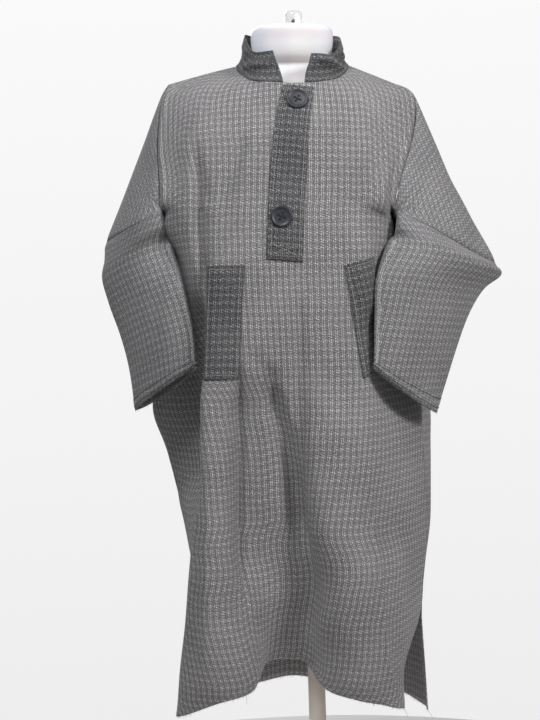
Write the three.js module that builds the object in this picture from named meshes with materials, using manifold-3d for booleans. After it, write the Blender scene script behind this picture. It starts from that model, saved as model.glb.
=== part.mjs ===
// A loose wool pheran with a stand collar, a half placket and two pocket welts, hanging on a
// limbless dress form on a pole. Millimetres, +Z up, the garment's front faces -Y, and the pole
// stands on the Z axis with the base's underside at Z 0.
import * as THREE from 'three';
import Manifold from 'manifold-3d';

const WALL = 2.0;
const SEAM_GAP = 0.3;
const COLLAR_WALL = 2.6;
const TRIM_WALL = 1.6;
const TRIM_CLEAR = 0.5;
const BUTTON_RADIUS = 17.5;
const BUTTON_THICK = 5.0;
const HOLE_RADIUS = 1.7;
const HOLE_PITCH = 3.6;
const POLE_RADIUS = 14.5;
const BASE_RADIUS = 175;
const BASE_THICK = 12;
const FORM_BOTTOM = 900;
const POLE_HEIGHT = FORM_BOTTOM - BASE_THICK - 2.0;
// The form leans a little on its pole and the garment with it: turned this far about a level
// axis through this point.
const ASKEW = THREE.MathUtils.degToRad(0.88);
const ASKEW_POINT = [-62, 0, 955];

const PALETTE = {
  mainCloth: { color: 0x8a888a, roughness: 0.95, metalness: 0 },
  sleeveCloth: { color: 0x7c7a7c, roughness: 0.95, metalness: 0 },
  trimCloth: { color: 0x505157, roughness: 0.95, metalness: 0 },
  button: { color: 0x2c2e36, roughness: 0.45, metalness: 0 },
  formPlastic: { color: 0xeeeae8, roughness: 0.35, metalness: 0 },
  clearPlastic: { color: 0xf4f2f0, roughness: 0.15, metalness: 0 },
  polePaint: { color: 0xd9cfc2, roughness: 0.3, metalness: 0 },
};

// Front of the body, from the shoulder and neck line to the hem. Each row holds twelve points
// from the wearer's right side seam, in the columns: seam, side, fold, lobe A, crease, hollow B,
// trough, ridge C, lobe C, turn D, side, seam.
const FRONT = [
  [[-226, 0, 1419], [-165, 0, 1435], [-109, 0, 1448], [-103, -37, 1430], [-84, -69, 1414],
    [-56, -87, 1409], [-16, -95, 1406], [24, -87, 1408], [52, -69, 1414], [71, -37, 1430],
    [77, 0, 1447], [164, 0, 1411]],
  [[-236, -26, 1388], [-182, -56, 1391], [-138, -73, 1395], [-104, -87, 1391], [-72, -97, 1384],
    [-40, -103, 1380], [-16, -105, 1378], [10, -103, 1379], [42, -95, 1384], [76, -82, 1391],
    [120, -61, 1393], [189, -22, 1388]],
  [[-242, -55, 1316], [-212, -80, 1316], [-182, -104, 1316], [-136, -112, 1316],
    [-92, -121, 1316], [-50, -126, 1316], [-16, -127, 1316], [18, -125, 1316],
    [56, -119, 1316], [92, -107, 1316], [132, -84, 1316], [179, -56, 1316]],
  [[-235, -84, 1218], [-209, -104, 1221], [-173, -126, 1222], [-132, -132, 1222],
    [-92, -134, 1222], [-52, -137, 1222], [-18, -137, 1222], [16, -136, 1222],
    [54, -132, 1222], [90, -123, 1221], [120, -110, 1216], [145, -91, 1208]],
  [[-224, -8, 1196], [-211, -96, 1192], [-170, -129, 1190], [-132, -136, 1190],
    [-93, -138, 1190], [-54, -139, 1190], [-20, -139, 1190], [14, -138, 1190],
    [50, -135, 1190], [86, -127, 1188], [119, -80, 1185], [160, -12, 1182]],
  [[-227, 32, 1105], [-197, -88, 1105], [-169, -136, 1105], [-130, -142, 1105],
    [-94, -143, 1105], [-56, -144, 1105], [-20, -143, 1105], [12, -143, 1105],
    [48, -140, 1105], [88, -129, 1105], [116, -68, 1105], [156, 18, 1105]],
  [[-232, 38, 1020], [-182, -78, 1020], [-171, -138, 1020], [-132, -145, 1020],
    [-98, -145, 1020], [-58, -147, 1020], [-18, -142, 1020], [10, -144, 1020],
    [46, -143, 1020], [90, -131, 1020], [118, -66, 1020], [162, 16, 1020]],
  [[-252, 42, 945], [-176, -68, 945], [-174, -140, 945], [-138, -149, 945], [-104, -146, 945],
    [-62, -147, 945], [-16, -139, 945], [10, -145, 945], [48, -147, 945], [95, -133, 945],
    [125, -68, 945], [175, 8, 945]],
  [[-266, 44, 870], [-177, -70, 870], [-178, -142, 870], [-144, -152, 870], [-109, -145, 870],
    [-64, -146, 870], [-14, -135, 870], [12, -146, 870], [52, -151, 870], [98, -138, 870],
    [142, -82, 870], [190, -22, 870]],
  [[-244, 38, 800], [-184, -72, 800], [-182, -144, 800], [-148, -155, 800], [-112, -143, 800],
    [-66, -143, 800], [-10, -128, 800], [12, -146, 800], [54, -154, 800], [98, -141, 800],
    [148, -92, 800], [193, -25, 800]],
  [[-216, 22, 682], [-190, -72, 682], [-189, -142, 682], [-152, -159, 682], [-113, -140, 682],
    [-67, -130, 682], [-4, -110, 682], [22, -146, 682], [60, -157, 682], [100, -142, 682],
    [152, -95, 682], [199, -20, 682]],
  [[-199, 12, 600], [-194, -72, 600], [-198, -138, 600], [-154, -161, 600], [-106, -138, 600],
    [-64, -112, 600], [8, -92, 600], [40, -140, 600], [74, -155, 600], [108, -142, 600],
    [152, -97, 600], [193, -20, 600]],
  [[-196, 10, 524], [-198, -70, 524], [-206, -130, 524], [-156, -161, 524], [-101, -136, 524],
    [-64, -88, 524], [0, -72, 524], [34, -128, 524], [72, -146, 524], [112, -136, 524],
    [150, -95, 524], [185, -26, 524]],
  [[-200, 4, 440], [-208, -62, 440], [-216, -118, 440], [-160, -154, 440], [-96, -128, 440],
    [-70, -56, 452], [-10, -50, 450], [26, -116, 440], [70, -134, 440], [112, -124, 440],
    [136, -98, 440], [153, -66, 440]],
  [[-210, -8, 358], [-226, -60, 364], [-217, -104, 373], [-160, -140, 402], [-98, -118, 418],
    [-80, -42, 452], [-20, -38, 450], [19, -104, 415], [69, -119, 399], [112, -108, 387],
    [137, -92, 376], [153, -70, 369]],
];

// Back of the body, the same rows, with nine points in the columns: seam, side, fold, hollow,
// centre, hollow, fold, side, seam. The first and last repeat the front's seams.
const BACK = [
  [[-165, 0, 1435], [-109, 0, 1448], [-74, 54, 1453], [-16, 74, 1455], [42, 54, 1453],
    [77, 0, 1447], [120, 0, 1430]],
  [[-178, 50, 1395], [-132, 68, 1400], [-78, 86, 1404], [-16, 92, 1405], [48, 86, 1404],
    [96, 68, 1400], [142, 48, 1394]],
  [[-196, 82, 1316], [-144, 98, 1316], [-80, 108, 1316], [-16, 111, 1316], [48, 108, 1316],
    [104, 96, 1316], [144, 80, 1316]],
  [[-200, 98, 1220], [-146, 113, 1220], [-82, 120, 1220], [-16, 122, 1220], [48, 120, 1220],
    [104, 110, 1218], [140, 92, 1215]],
  [[-222, 86, 1192], [-156, 117, 1190], [-82, 124, 1190], [-16, 126, 1190], [50, 124, 1190],
    [112, 112, 1188], [162, 78, 1186]],
  [[-228, 94, 1105], [-160, 126, 1105], [-84, 130, 1105], [-18, 134, 1105], [50, 130, 1105],
    [114, 118, 1105], [166, 84, 1105]],
  [[-232, 102, 1020], [-166, 133, 1020], [-88, 135, 1020], [-18, 142, 1020], [50, 136, 1020],
    [114, 126, 1020], [172, 88, 1020]],
  [[-236, 108, 945], [-168, 140, 945], [-92, 142, 945], [-20, 151, 945], [52, 142, 945],
    [118, 136, 945], [192, 84, 945]],
  [[-246, 112, 870], [-174, 147, 870], [-96, 148, 870], [-20, 161, 870], [54, 148, 870],
    [124, 144, 870], [212, 72, 870]],
  [[-230, 110, 800], [-178, 154, 800], [-100, 152, 800], [-22, 170, 800], [56, 152, 800],
    [128, 151, 800], [211, 68, 800]],
  [[-208, 102, 682], [-182, 162, 682], [-102, 156, 682], [-24, 184, 682], [58, 156, 682],
    [132, 160, 682], [206, 64, 682]],
  [[-198, 96, 600], [-184, 168, 600], [-104, 160, 600], [-24, 194, 600], [60, 160, 600],
    [134, 165, 600], [196, 60, 600]],
  [[-197, 92, 524], [-186, 172, 524], [-106, 164, 524], [-24, 202, 524], [60, 164, 524],
    [134, 168, 524], [188, 56, 524]],
  [[-200, 88, 440], [-188, 176, 440], [-108, 168, 440], [-26, 210, 440], [62, 168, 440],
    [134, 170, 440], [190, 52, 440]],
  [[-205, 82, 347], [-190, 178, 346], [-110, 172, 346], [-26, 216, 349], [62, 172, 345],
    [136, 172, 344], [196, 50, 342]],
];
const BACK_SEAM_RIGHT = { 12: [187, -18, 524], 13: [194, -2, 440], 14: [201, 8, 342] };
const BACK_SEAM_LEFT = { 12: [-196, 14, 524], 13: [-199, 14, 440], 14: [-204, 12, 347] };
const BACK_ARMHOLE_LEFT = { 1: [-236, 26, 1390], 2: [-242, 55, 1316], 3: [-236, 66, 1220] };
const BACK_ARMHOLE_RIGHT = { 1: [190, 22, 1390], 2: [177, 60, 1316], 3: [162, 62, 1214] };

// Sleeves: twelve points round each ring from the underarm, over the front, the outer fold and
// the back. The first ring is the body's armhole and the second is this elbow seam.
const ARMHOLE_ROWS = 4;
const ELBOW_LEFT = [[-240, -14, 1177], [-243, -86, 1203], [-264, -86, 1190], [-288, -70, 1178],
  [-311, -38, 1168], [-330, 4, 1161], [-340, 42, 1158], [-332, 70, 1161], [-313, 86, 1168],
  [-288, 90, 1178], [-264, 84, 1190], [-247, 56, 1200]];
const ELBOW_RIGHT = [[182, -14, 1160], [156, -94, 1190], [188, -102, 1178], [224, -92, 1157],
  [266, -66, 1134], [300, -30, 1119], [324, 8, 1112], [310, 44, 1120], [284, 68, 1133],
  [248, 80, 1152], [216, 82, 1170], [190, 58, 1188]];

// Lower sleeves, each ring a flattened tube: inner edge, outer edge, bulge to the front, bulge
// to the back and how far the front hangs below the straight line.
const LOWER_LEFT = [
  { inner: [-224, -70, 1150], outer: [-337, 30, 1092], front: 42, back: 32, dip: 0 },
  { inner: [-209, -89, 1100], outer: [-329, 12, 1050], front: 34, back: 27, dip: 0 },
  { inner: [-196, -99, 1045], outer: [-313, -2, 1000], front: 28, back: 26, dip: 0 },
  { inner: [-188, -105, 998], outer: [-299, -12, 945], front: 25, back: 22, dip: 2 },
  { inner: [-184, -107, 948], outer: [-288, -18, 873], front: 24, back: 20, dip: 6 },
];
const LOWER_RIGHT = [
  { inner: [140, -104, 1146], outer: [323, 0, 1090], front: 54, back: 66, dip: 0 },
  { inner: [115, -127, 1090], outer: [296, -6, 1068], front: 42, back: 38, dip: 0 },
  { inner: [111, -136, 1035], outer: [269, -12, 1024], front: 34, back: 30, dip: 4 },
  { inner: [108, -141, 985], outer: [245, -24, 962], front: 28, back: 22, dip: 10 },
  { inner: [106, -143, 945], outer: [212, -45, 867], front: 24, back: 17, dip: 18 },
];

// Stand collar, from its front edge on the wearer's right, round the back to the other.
// The seam is the body's neck edge, named by the panel's column: fronts F and back B.
const COLLAR_SEAM = [['F', 5.6], ['F', 4.7], ['F', 3.8], ['F', 2.9], ['B', 2], ['B', 2.67],
  ['B', 3.33], ['B', 4], ['B', 4.67], ['B', 5.33], ['B', 6], ['F', 9.1], ['F', 8.2],
  ['F', 7.3], ['F', 6.42]];
const COLLAR_TOP = [[-49, -85, 1460], [-64, -77, 1460], [-81, -60, 1463], [-91, -30, 1482],
  [-93, 0, 1500], [-84, 30, 1504], [-58, 54, 1505], [-15, 63, 1505], [28, 54, 1505],
  [56, 30, 1502], [65, 0, 1493], [62, -30, 1476], [48, -60, 1457], [30, -77, 1454],
  [13, -85, 1454]];

// Trim that lies on the front: left edge from top to bottom as X and Z, width at the top and
// the bottom, how far the far side rises per millimetre of width, and how far the near edge
// bows outwards above its middle.
const PLACKET = { top: [-32.5, 1402], bottom: [-65, 1121], widthTop: 51, widthBottom: 58,
  rise: -0.1, bow: 8 };
const WELT_LEFT = { top: [-160, 1112], bottom: [-169, 930], widthTop: 60, widthBottom: 58,
  rise: 0.0, bow: 0 };
const WELT_RIGHT = { top: [60, 1109], bottom: [86, 927], widthTop: 47, widthBottom: 54,
  rise: 0.3, bow: 0 };
const BUTTONS = { button_upper: [-11, 1376], button_lower: [-40, 1188] };

// Dress form: height, half width, half depth and forward shift of each ring.
const FORM_CENTRE_X = -16;
const FORM = [
  [FORM_BOTTOM, 126, 84, 0], [FORM_BOTTOM + 14, 138, 92, 0], [980, 141, 94, 0],
  [1060, 134, 90, 2], [1140, 132, 90, 0], [1220, 138, 94, -4], [1300, 152, 92, -6],
  [1350, 160, 82, -4], [1385, 156, 66, 0], [1405, 146, 55.8, 2.2], [1420, 124, 49.6, 3.2],
  [1432, 106, 45.6, 3.2], [1445, 91, 39.8, 2.1], [1452, 72, 43, 1], [1462, 61, 46, -2],
  [1485, 62, 50, -4],
  [1502, 68, 56, -4], [1508, 66, 54, -4],
];

const toVec = (p) => new THREE.Vector3(p[0], p[1], p[2]);

function spline(a, b, c, d, t) {
  const t2 = t * t;
  const t3 = t2 * t;
  return 0.5 * ((2 * b) + (c - a) * t + (2 * a - 5 * b + 4 * c - d) * t2
    + (3 * b - a - 3 * c + d) * t3);
}

// A point on a curve through the given points, with t from 0 to 1 along them. At a corner the
// curve turns sharply; corners maps a point's number to how sharp it is, from 0 to 1.
function curvePoint(points, t, closed, corners) {
  const count = points.length;
  const spans = closed ? count : count - 1;
  const place = Math.min(Math.max(t, 0), 1) * spans;
  const span = Math.min(Math.floor(place), spans - 1);
  const part = place - span;
  const at = (i) => {
    if (closed) return points[((i % count) + count) % count];
    if (i < 0) return points[0].map((v, k) => 2 * v - points[1][k]);
    if (i >= count) return points[count - 1].map((v, k) => 2 * v - points[count - 2][k]);
    return points[i];
  };
  const [q, r] = [at(span), at(span + 1)];
  const ease = (near, far, next, sharp) => far.map((value, k) => value
    + (2 * near[k] - next[k] - value) * sharp);
  const p = ease(q, at(span - 1), r, corners?.[span] ?? 0);
  const s = ease(r, at(span + 2), q, corners?.[span + 1] ?? 0);
  return [0, 1, 2].map((k) => spline(p[k], q[k], r[k], s[k], part));
}

// A surface through rows of points: u runs along a row and v from the first row to the last.
// Its two edges turn sharply at the given rows, and its top edge at the given columns.
function surface(rows, closed, edgeRows = {}, topColumns = []) {
  const columns = rows[0].map((point, i) => rows.map((row) => row[i]));
  const last = columns.length - 1;
  return (u, v) => {
    const line = columns.map((column, i) => {
      const onEdge = !closed && (i === 0 || i === last);
      return curvePoint(column, v, false, onEdge ? edgeRows : null);
    });
    const sharp = Math.max(0, 1 - v * (rows.length - 1));
    const corners = {};
    for (const column of topColumns) corners[column] = sharp;
    return toVec(curvePoint(line, u, closed, corners));
  };
}

function normalAt(place, u, v, closed) {
  const step = 0.002;
  const uLow = closed ? u - step : Math.max(0, u - step);
  const uHigh = closed ? u + step : Math.min(1, u + step);
  const wrap = (x) => (closed ? ((x % 1) + 1) % 1 : x);
  const along = place(wrap(uHigh), v).sub(place(wrap(uLow), v));
  const down = place(u, Math.min(1, v + step)).sub(place(u, Math.max(0, v - step)));
  return along.cross(down).normalize();
}

// Turns a grid of middle points and normals into a closed wall with rims on its open edges.
function wallFromGrid(points, normals, thick, closed) {
  const rows = points.length;
  const cols = points[0].length;
  const positions = [];
  const index = [];
  const side = (sign) => {
    const start = positions.length / 3;
    for (let j = 0; j < rows; j += 1) {
      for (let i = 0; i < cols; i += 1) {
        const p = points[j][i].clone().addScaledVector(normals[j][i], sign * thick / 2);
        positions.push(p.x, p.y, p.z);
      }
    }
    return start;
  };
  const outer = side(1);
  const inner = side(-1);
  const quad = (a, b, c, d) => index.push(a, b, c, a, c, d);
  const spans = closed ? cols : cols - 1;
  for (let j = 0; j < rows - 1; j += 1) {
    for (let i = 0; i < spans; i += 1) {
      const next = (i + 1) % cols;
      const a = j * cols + i;
      const b = j * cols + next;
      const c = (j + 1) * cols + next;
      const d = (j + 1) * cols + i;
      quad(outer + a, outer + b, outer + c, outer + d);
      quad(inner + a, inner + d, inner + c, inner + b);
    }
  }
  for (let i = 0; i < spans; i += 1) {
    const next = (i + 1) % cols;
    quad(inner + i, inner + next, outer + next, outer + i);
    const last = (rows - 1) * cols;
    quad(outer + last + i, outer + last + next, inner + last + next, inner + last + i);
  }
  if (!closed) {
    for (let j = 0; j < rows - 1; j += 1) {
      const a = j * cols;
      const b = (j + 1) * cols;
      quad(inner + a, outer + a, outer + b, inner + b);
      const c = a + cols - 1;
      const d = b + cols - 1;
      quad(outer + c, inner + c, inner + d, outer + d);
    }
  }
  return geometryFrom(positions, index);
}

function geometryFrom(positions, index) {
  const geometry = new THREE.BufferGeometry();
  geometry.setAttribute('position', new THREE.Float32BufferAttribute(positions, 3));
  geometry.setIndex(index);
  if (signedVolume(geometry) < 0) {
    for (let i = 0; i < index.length; i += 3) {
      [index[i + 1], index[i + 2]] = [index[i + 2], index[i + 1]];
    }
    geometry.setIndex(index);
  }
  geometry.computeVertexNormals();
  return geometry;
}

function signedVolume(geometry) {
  const p = geometry.getAttribute('position');
  const index = geometry.getIndex();
  let sum = 0;
  const [a, b, c] = [new THREE.Vector3(), new THREE.Vector3(), new THREE.Vector3()];
  for (let i = 0; i < index.count; i += 3) {
    a.fromBufferAttribute(p, index.getX(i));
    b.fromBufferAttribute(p, index.getX(i + 1));
    c.fromBufferAttribute(p, index.getX(i + 2));
    sum += a.dot(b.cross(c)) / 6;
  }
  return sum;
}

// Samples a surface evenly and draws its edges back by the given seam allowances, so that two
// walls that meet at an angle stay a seam gap apart. back = { left, right, top, bottom } in mm.
function clothWall(place, cols, rows, thick, closed, back) {
  const points = [];
  const normals = [];
  const count = closed ? cols : cols + 1;
  for (let j = 0; j <= rows; j += 1) {
    const line = [];
    const lineNormals = [];
    for (let i = 0; i < count; i += 1) {
      const u = i / cols;
      const v = j / rows;
      line.push(place(u, v));
      lineNormals.push(normalAt(place, u, v, closed));
    }
    points.push(line);
    normals.push(lineNormals);
  }
  const draw = (edge, next, distance) => {
    const step = next.clone().sub(edge);
    edge.addScaledVector(step.normalize(), distance);
  };
  const amount = (edge, along) => (typeof edge === 'function' ? edge(along) : edge ?? 0);
  for (let i = 0; i < count; i += 1) {
    draw(points[0][i], points[1][i], amount(back.top, i / cols));
    draw(points[rows][i], points[rows - 1][i], amount(back.bottom, i / cols));
  }
  if (!closed) {
    for (let j = 0; j <= rows; j += 1) {
      draw(points[j][0], points[j][1], amount(back.left, j / rows));
      draw(points[j][count - 1], points[j][count - 2], amount(back.right, j / rows));
    }
  }
  return wallFromGrid(points, normals, thick, closed);
}

// Finds the surface place above the given X and Z on the body's front.
function findOnFront(place, x, z) {
  let best = [0.5, 0.5];
  let least = Infinity;
  for (let i = 2; i <= 9; i += 0.25) {
    for (let j = 0; j < 60; j += 1) {
      const p = place(i / 11, j / 60);
      const miss = (p.x - x) ** 2 + (p.z - z) ** 2 + Math.max(0, p.y + 80) ** 2;
      if (miss < least) {
        least = miss;
        best = [i / 11, j / 60];
      }
    }
  }
  let [u, v] = best;
  const h = 1e-4;
  for (let k = 0; k < 8; k += 1) {
    const p = place(u, v);
    const du = place(u + h, v).sub(p).divideScalar(h);
    const dv = place(u, v + h).sub(p).divideScalar(h);
    const det = du.x * dv.z - dv.x * du.z;
    const ex = x - p.x;
    const ez = z - p.z;
    u += (ex * dv.z - dv.x * ez) / det;
    v += (du.x * ez - ex * du.z) / det;
  }
  return [u, v];
}

// Lays a strip on the front: its near edge follows a line in X and Z, and from there it runs
// the given width over the cloth.
function stripOnFront(place, strip, cols, rows, lift, thick) {
  const points = [];
  const normals = [];
  for (let j = 0; j <= rows; j += 1) {
    const t = j / rows;
    const x = strip.top[0] + (strip.bottom[0] - strip.top[0]) * t
      - strip.bow * Math.sin(Math.PI * t ** 0.75);
    const z = strip.top[1] + (strip.bottom[1] - strip.top[1]) * t;
    const width = strip.widthTop + (strip.widthBottom - strip.widthTop) * Math.min(1, 2.2 * t);
    let [u, v] = findOnFront(place, x, z);
    const line = [];
    const lineNormals = [];
    const fine = 6;
    const step = width / cols / fine;
    for (let i = 0; i <= cols * fine; i += 1) {
      if (i % fine === 0) {
        const n = normalAt(place, u, v, false);
        if (n.y > 0) n.negate();
        line.push(place(u, v).addScaledVector(n, lift));
        lineNormals.push(n);
      }
      const h = 1e-4;
      const p = place(u, v);
      const du = place(u + h, v).sub(p).divideScalar(h);
      const dv = place(u, v + h).sub(p).divideScalar(h);
      const slide = -du.z / dv.z;
      const flat = du.clone().addScaledVector(dv, slide);
      const run = step * Math.sqrt(1 - strip.rise ** 2) / flat.length();
      u += run;
      v += slide * run + strip.rise * step / dv.z;
    }
    points.push(line);
    normals.push(lineNormals);
  }
  return wallFromGrid(points, normals, thick, false);
}

function sleeveRing(row) {
  const inner = toVec(row.inner);
  const outer = toVec(row.outer);
  const centre = inner.clone().add(outer).multiplyScalar(0.5);
  const half = inner.clone().sub(outer).multiplyScalar(0.5);
  const across = new THREE.Vector3(half.x, half.y, 0).normalize();
  let front = new THREE.Vector3(-across.y, across.x, 0);
  if (front.y > 0) front.negate();
  const ring = [];
  for (let k = 0; k < 12; k += 1) {
    const angle = k * Math.PI / 6;
    const rise = Math.sin(angle);
    const bulge = rise >= 0 ? row.front * rise : row.back * rise;
    const p = centre.clone().addScaledVector(half, Math.cos(angle));
    p.addScaledVector(front, bulge);
    if (rise > 0) p.z -= row.dip * rise;
    ring.push([p.x, p.y, p.z]);
  }
  return ring;
}

// The ring part of the way between two rings, swollen outwards and tucked in at the underarm.
function blendRings(first, second, t, swell, tuck = 0) {
  const centre = [0, 1, 2].map((k) => {
    const all = first.concat(second).map((p) => p[k]);
    return all.reduce((a, b) => a + b, 0) / all.length;
  });
  return first.map((p, i) => {
    const q = second[i];
    const mid = [0, 1, 2].map((k) => p[k] + (q[k] - p[k]) * t);
    const outward = mid.map((v, k) => v - centre[k]);
    const length = Math.hypot(...outward);
    const push = swell - tuck * Math.max(0, Math.cos(i * Math.PI / 6));
    return mid.map((v, k) => v + outward[k] / length * push);
  });
}

// A lathe solid from [radius, height] pairs; the first and last radius are zero.
function turned(profile, segments) {
  const positions = [];
  const index = [];
  positions.push(0, 0, profile[0][1]);
  for (const [radius, height] of profile.slice(1, -1)) {
    for (let k = 0; k < segments; k += 1) {
      const angle = 2 * Math.PI * k / segments;
      positions.push(radius * Math.cos(angle), radius * Math.sin(angle), height);
    }
  }
  positions.push(0, 0, profile[profile.length - 1][1]);
  const last = positions.length / 3 - 1;
  const rings = profile.length - 2;
  for (let k = 0; k < segments; k += 1) {
    const next = (k + 1) % segments;
    index.push(0, 1 + next, 1 + k);
    for (let j = 0; j < rings - 1; j += 1) {
      const a = 1 + j * segments;
      const b = a + segments;
      index.push(a + k, a + next, b + next, a + k, b + next, b + k);
    }
    const top = 1 + (rings - 1) * segments;
    index.push(top + k, top + next, last);
  }
  return geometryFrom(positions, index);
}

// The dress form: oval rings closed by a flat underside and a low dome over the neck.
function formSolid() {
  const segments = 30;
  const positions = [FORM_CENTRE_X, 0, FORM_BOTTOM];
  const index = [];
  for (const [height, halfWidth, halfDepth, forward] of FORM) {
    for (let k = 0; k < segments; k += 1) {
      const angle = 2 * Math.PI * k / segments;
      positions.push(FORM_CENTRE_X + halfWidth * Math.cos(angle),
        forward + halfDepth * Math.sin(angle), height);
    }
  }
  positions.push(FORM_CENTRE_X, -4, 1513);
  const last = positions.length / 3 - 1;
  for (let k = 0; k < segments; k += 1) {
    const next = (k + 1) % segments;
    index.push(0, 1 + next, 1 + k);
    for (let j = 0; j < FORM.length - 1; j += 1) {
      const a = 1 + j * segments;
      const b = a + segments;
      index.push(a + k, a + next, b + next, a + k, b + next, b + k);
    }
    const top = 1 + (FORM.length - 1) * segments;
    index.push(top + k, top + next, last);
  }
  return geometryFrom(positions, index);
}

const solids = await Manifold();
solids.setup();

function toSolid(geometry) {
  const mesh = new solids.Mesh({
    numProp: 3,
    vertProperties: new Float32Array(geometry.getAttribute('position').array),
    triVerts: new Uint32Array(geometry.getIndex().array),
  });
  mesh.merge();
  return new solids.Manifold(mesh);
}

// A round button with a raised rim and four sewing holes, its back at Z 0 facing down.
function buttonSolid() {
  const r = BUTTON_RADIUS;
  const h = BUTTON_THICK;
  let body = toSolid(turned([[0, 0], [r - 2.2, 0], [r, 1.8], [r, h - 1.4], [r - 1.6, h],
    [r - 3.6, h - 0.4], [r - 6.0, h - 1.7], [0, h - 1.7]], 28));
  for (const [sx, sy] of [[-1, -1], [1, -1], [1, 1], [-1, 1]]) {
    const hole = solids.Manifold.cylinder(2 * h, HOLE_RADIUS, HOLE_RADIUS, 10, true);
    body = body.subtract(hole.translate([sx * HOLE_PITCH, sy * HOLE_PITCH, h / 2]));
  }
  const mesh = body.getMesh();
  const geometry = new THREE.BufferGeometry();
  geometry.setAttribute('position', new THREE.Float32BufferAttribute(mesh.vertProperties, 3));
  geometry.setIndex(Array.from(mesh.triVerts));
  geometry.computeVertexNormals();
  return geometry;
}

// Seats a part made about +Z on the front, its back the given height above the cloth's middle.
function seatOnFront(geometry, place, x, z, lift, turn) {
  const [u, v] = findOnFront(place, x, z);
  const n = normalAt(place, u, v, false);
  if (n.y > 0) n.negate();
  const spin = new THREE.Quaternion().setFromAxisAngle(new THREE.Vector3(0, 0, 1), turn);
  const lean = new THREE.Quaternion().setFromUnitVectors(new THREE.Vector3(0, 0, 1), n);
  geometry.applyQuaternion(spin);
  geometry.applyQuaternion(lean);
  const at = place(u, v).addScaledVector(n, lift);
  geometry.translate(at.x, at.y, at.z);
  return geometry;
}

const assembly = new THREE.Group();
assembly.name = 'pheran_on_form';

const askew = new THREE.Matrix4().makeTranslation(...ASKEW_POINT)
  .multiply(new THREE.Matrix4().makeRotationY(ASKEW))
  .multiply(new THREE.Matrix4().makeTranslation(...ASKEW_POINT.map((v) => -v)));

function addLeaning(name, geometry, finish) {
  geometry.applyMatrix4(askew);
  add(name, geometry, finish);
}

function add(name, geometry, finish) {
  const mesh = new THREE.Mesh(geometry, new THREE.MeshStandardMaterial(finish));
  mesh.name = name;
  mesh.material.name = `${name}_finish`;
  assembly.add(mesh);
}

// Body panels. The back's rows take the front's seams, except at the armholes and side slits.
const backRows = BACK.map((row, k) => {
  const left = BACK_SEAM_LEFT[k] ?? BACK_ARMHOLE_LEFT[k] ?? FRONT[k][0];
  const right = BACK_SEAM_RIGHT[k] ?? BACK_ARMHOLE_RIGHT[k] ?? FRONT[k][11];
  return [left, ...row, right];
});
const seamCorners = { [ARMHOLE_ROWS]: 1, 11: 1 };
const frontPlace = surface(FRONT, false, seamCorners, [2, 10]);
const backPlace = surface(backRows, false, seamCorners, [2, 6]);
const seam = SEAM_GAP / 2;

// How far each of two walls that share an edge is drawn back, from the angle they meet at.
function cornerBack(first, firstEdge, second, secondEdge) {
  return (v) => {
    const inward = (place, edge) => {
      const next = edge === 0 ? 0.01 : 0.99;
      return place(next, v).sub(place(edge, v)).normalize();
    };
    const angle = inward(first, firstEdge).angleTo(inward(second, secondEdge));
    return seam + Math.min(3.5, WALL / 2 / Math.tan(Math.max(angle, 0.3) / 2));
  };
}
const leftBack = cornerBack(frontPlace, 0, backPlace, 0);
const rightBack = cornerBack(frontPlace, 1, backPlace, 1);
const underarmV = ARMHOLE_ROWS / 14;
const bodyEdge = (inner) => (v) => {
  const near = Math.max(0, 1 - Math.abs(v - underarmV) * 14);
  return (v < underarmV ? 1.0 : inner(v)) + 2.8 * near;
};
addLeaning('front_panel', clothWall(frontPlace, 33, 36, WALL, false,
  { left: bodyEdge(leftBack), right: bodyEdge(rightBack), top: 1.1 }), PALETTE.mainCloth);
addLeaning('back_panel', clothWall(backPlace, 24, 36, WALL, false,
  { left: bodyEdge(leftBack), right: bodyEdge(rightBack), top: 1.1 }), PALETTE.mainCloth);

// Sleeves: an upper piece from the armhole to the elbow seam, and a lower piece to the cuff.
function armholeRing(edge) {
  const ring = [];
  for (let k = 0; k < 12; k += 1) {
    const rise = k <= 6 ? k : 12 - k;
    const v = ARMHOLE_ROWS / 14 * (1 - rise / 6);
    const p = (k <= 6 ? frontPlace : backPlace)(edge, v);
    ring.push([p.x, p.y, p.z]);
  }
  return ring;
}
const roundArm = (front, back, underarm, outer) => (u) => {
  const inner = Math.max(0, Math.cos(2 * Math.PI * u)) ** 2;
  const over = Math.max(0, -Math.cos(2 * Math.PI * u)) ** 4;
  const behind = Math.max(0, -Math.sin(2 * Math.PI * u));
  return front + (back - front) * behind + (underarm - front) * inner
    + (outer - front) * over;
};
for (const [side, edge, elbow, lower] of [
  ['right', 0, ELBOW_LEFT, LOWER_LEFT],
  ['left', 1, ELBOW_RIGHT, LOWER_RIGHT]]) {
  const armhole = armholeRing(edge);
  const upper = surface([armhole, blendRings(armhole, elbow, 0.2, 2),
    blendRings(armhole, elbow, 0.55, 0), elbow], true);
  addLeaning(`sleeve_${side}_upper`, clothWall(upper, 28, 6, WALL, true,
    { top: roundArm(2.2, 2.5, 4.8, 3.9), bottom: roundArm(0.6, 1.4, 7.0, 0.6) }), PALETTE.sleeveCloth);
  const rings = lower.map(sleeveRing);
  const tube = surface([elbow, blendRings(elbow, rings[0], 0.5, 0, 12), ...rings], true);
  addLeaning(`sleeve_${side}_lower`, clothWall(tube, 28, 11, WALL, true,
    { top: roundArm(0.6, 1.4, 7.0, 0.6) }), PALETTE.sleeveCloth);
}

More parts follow.
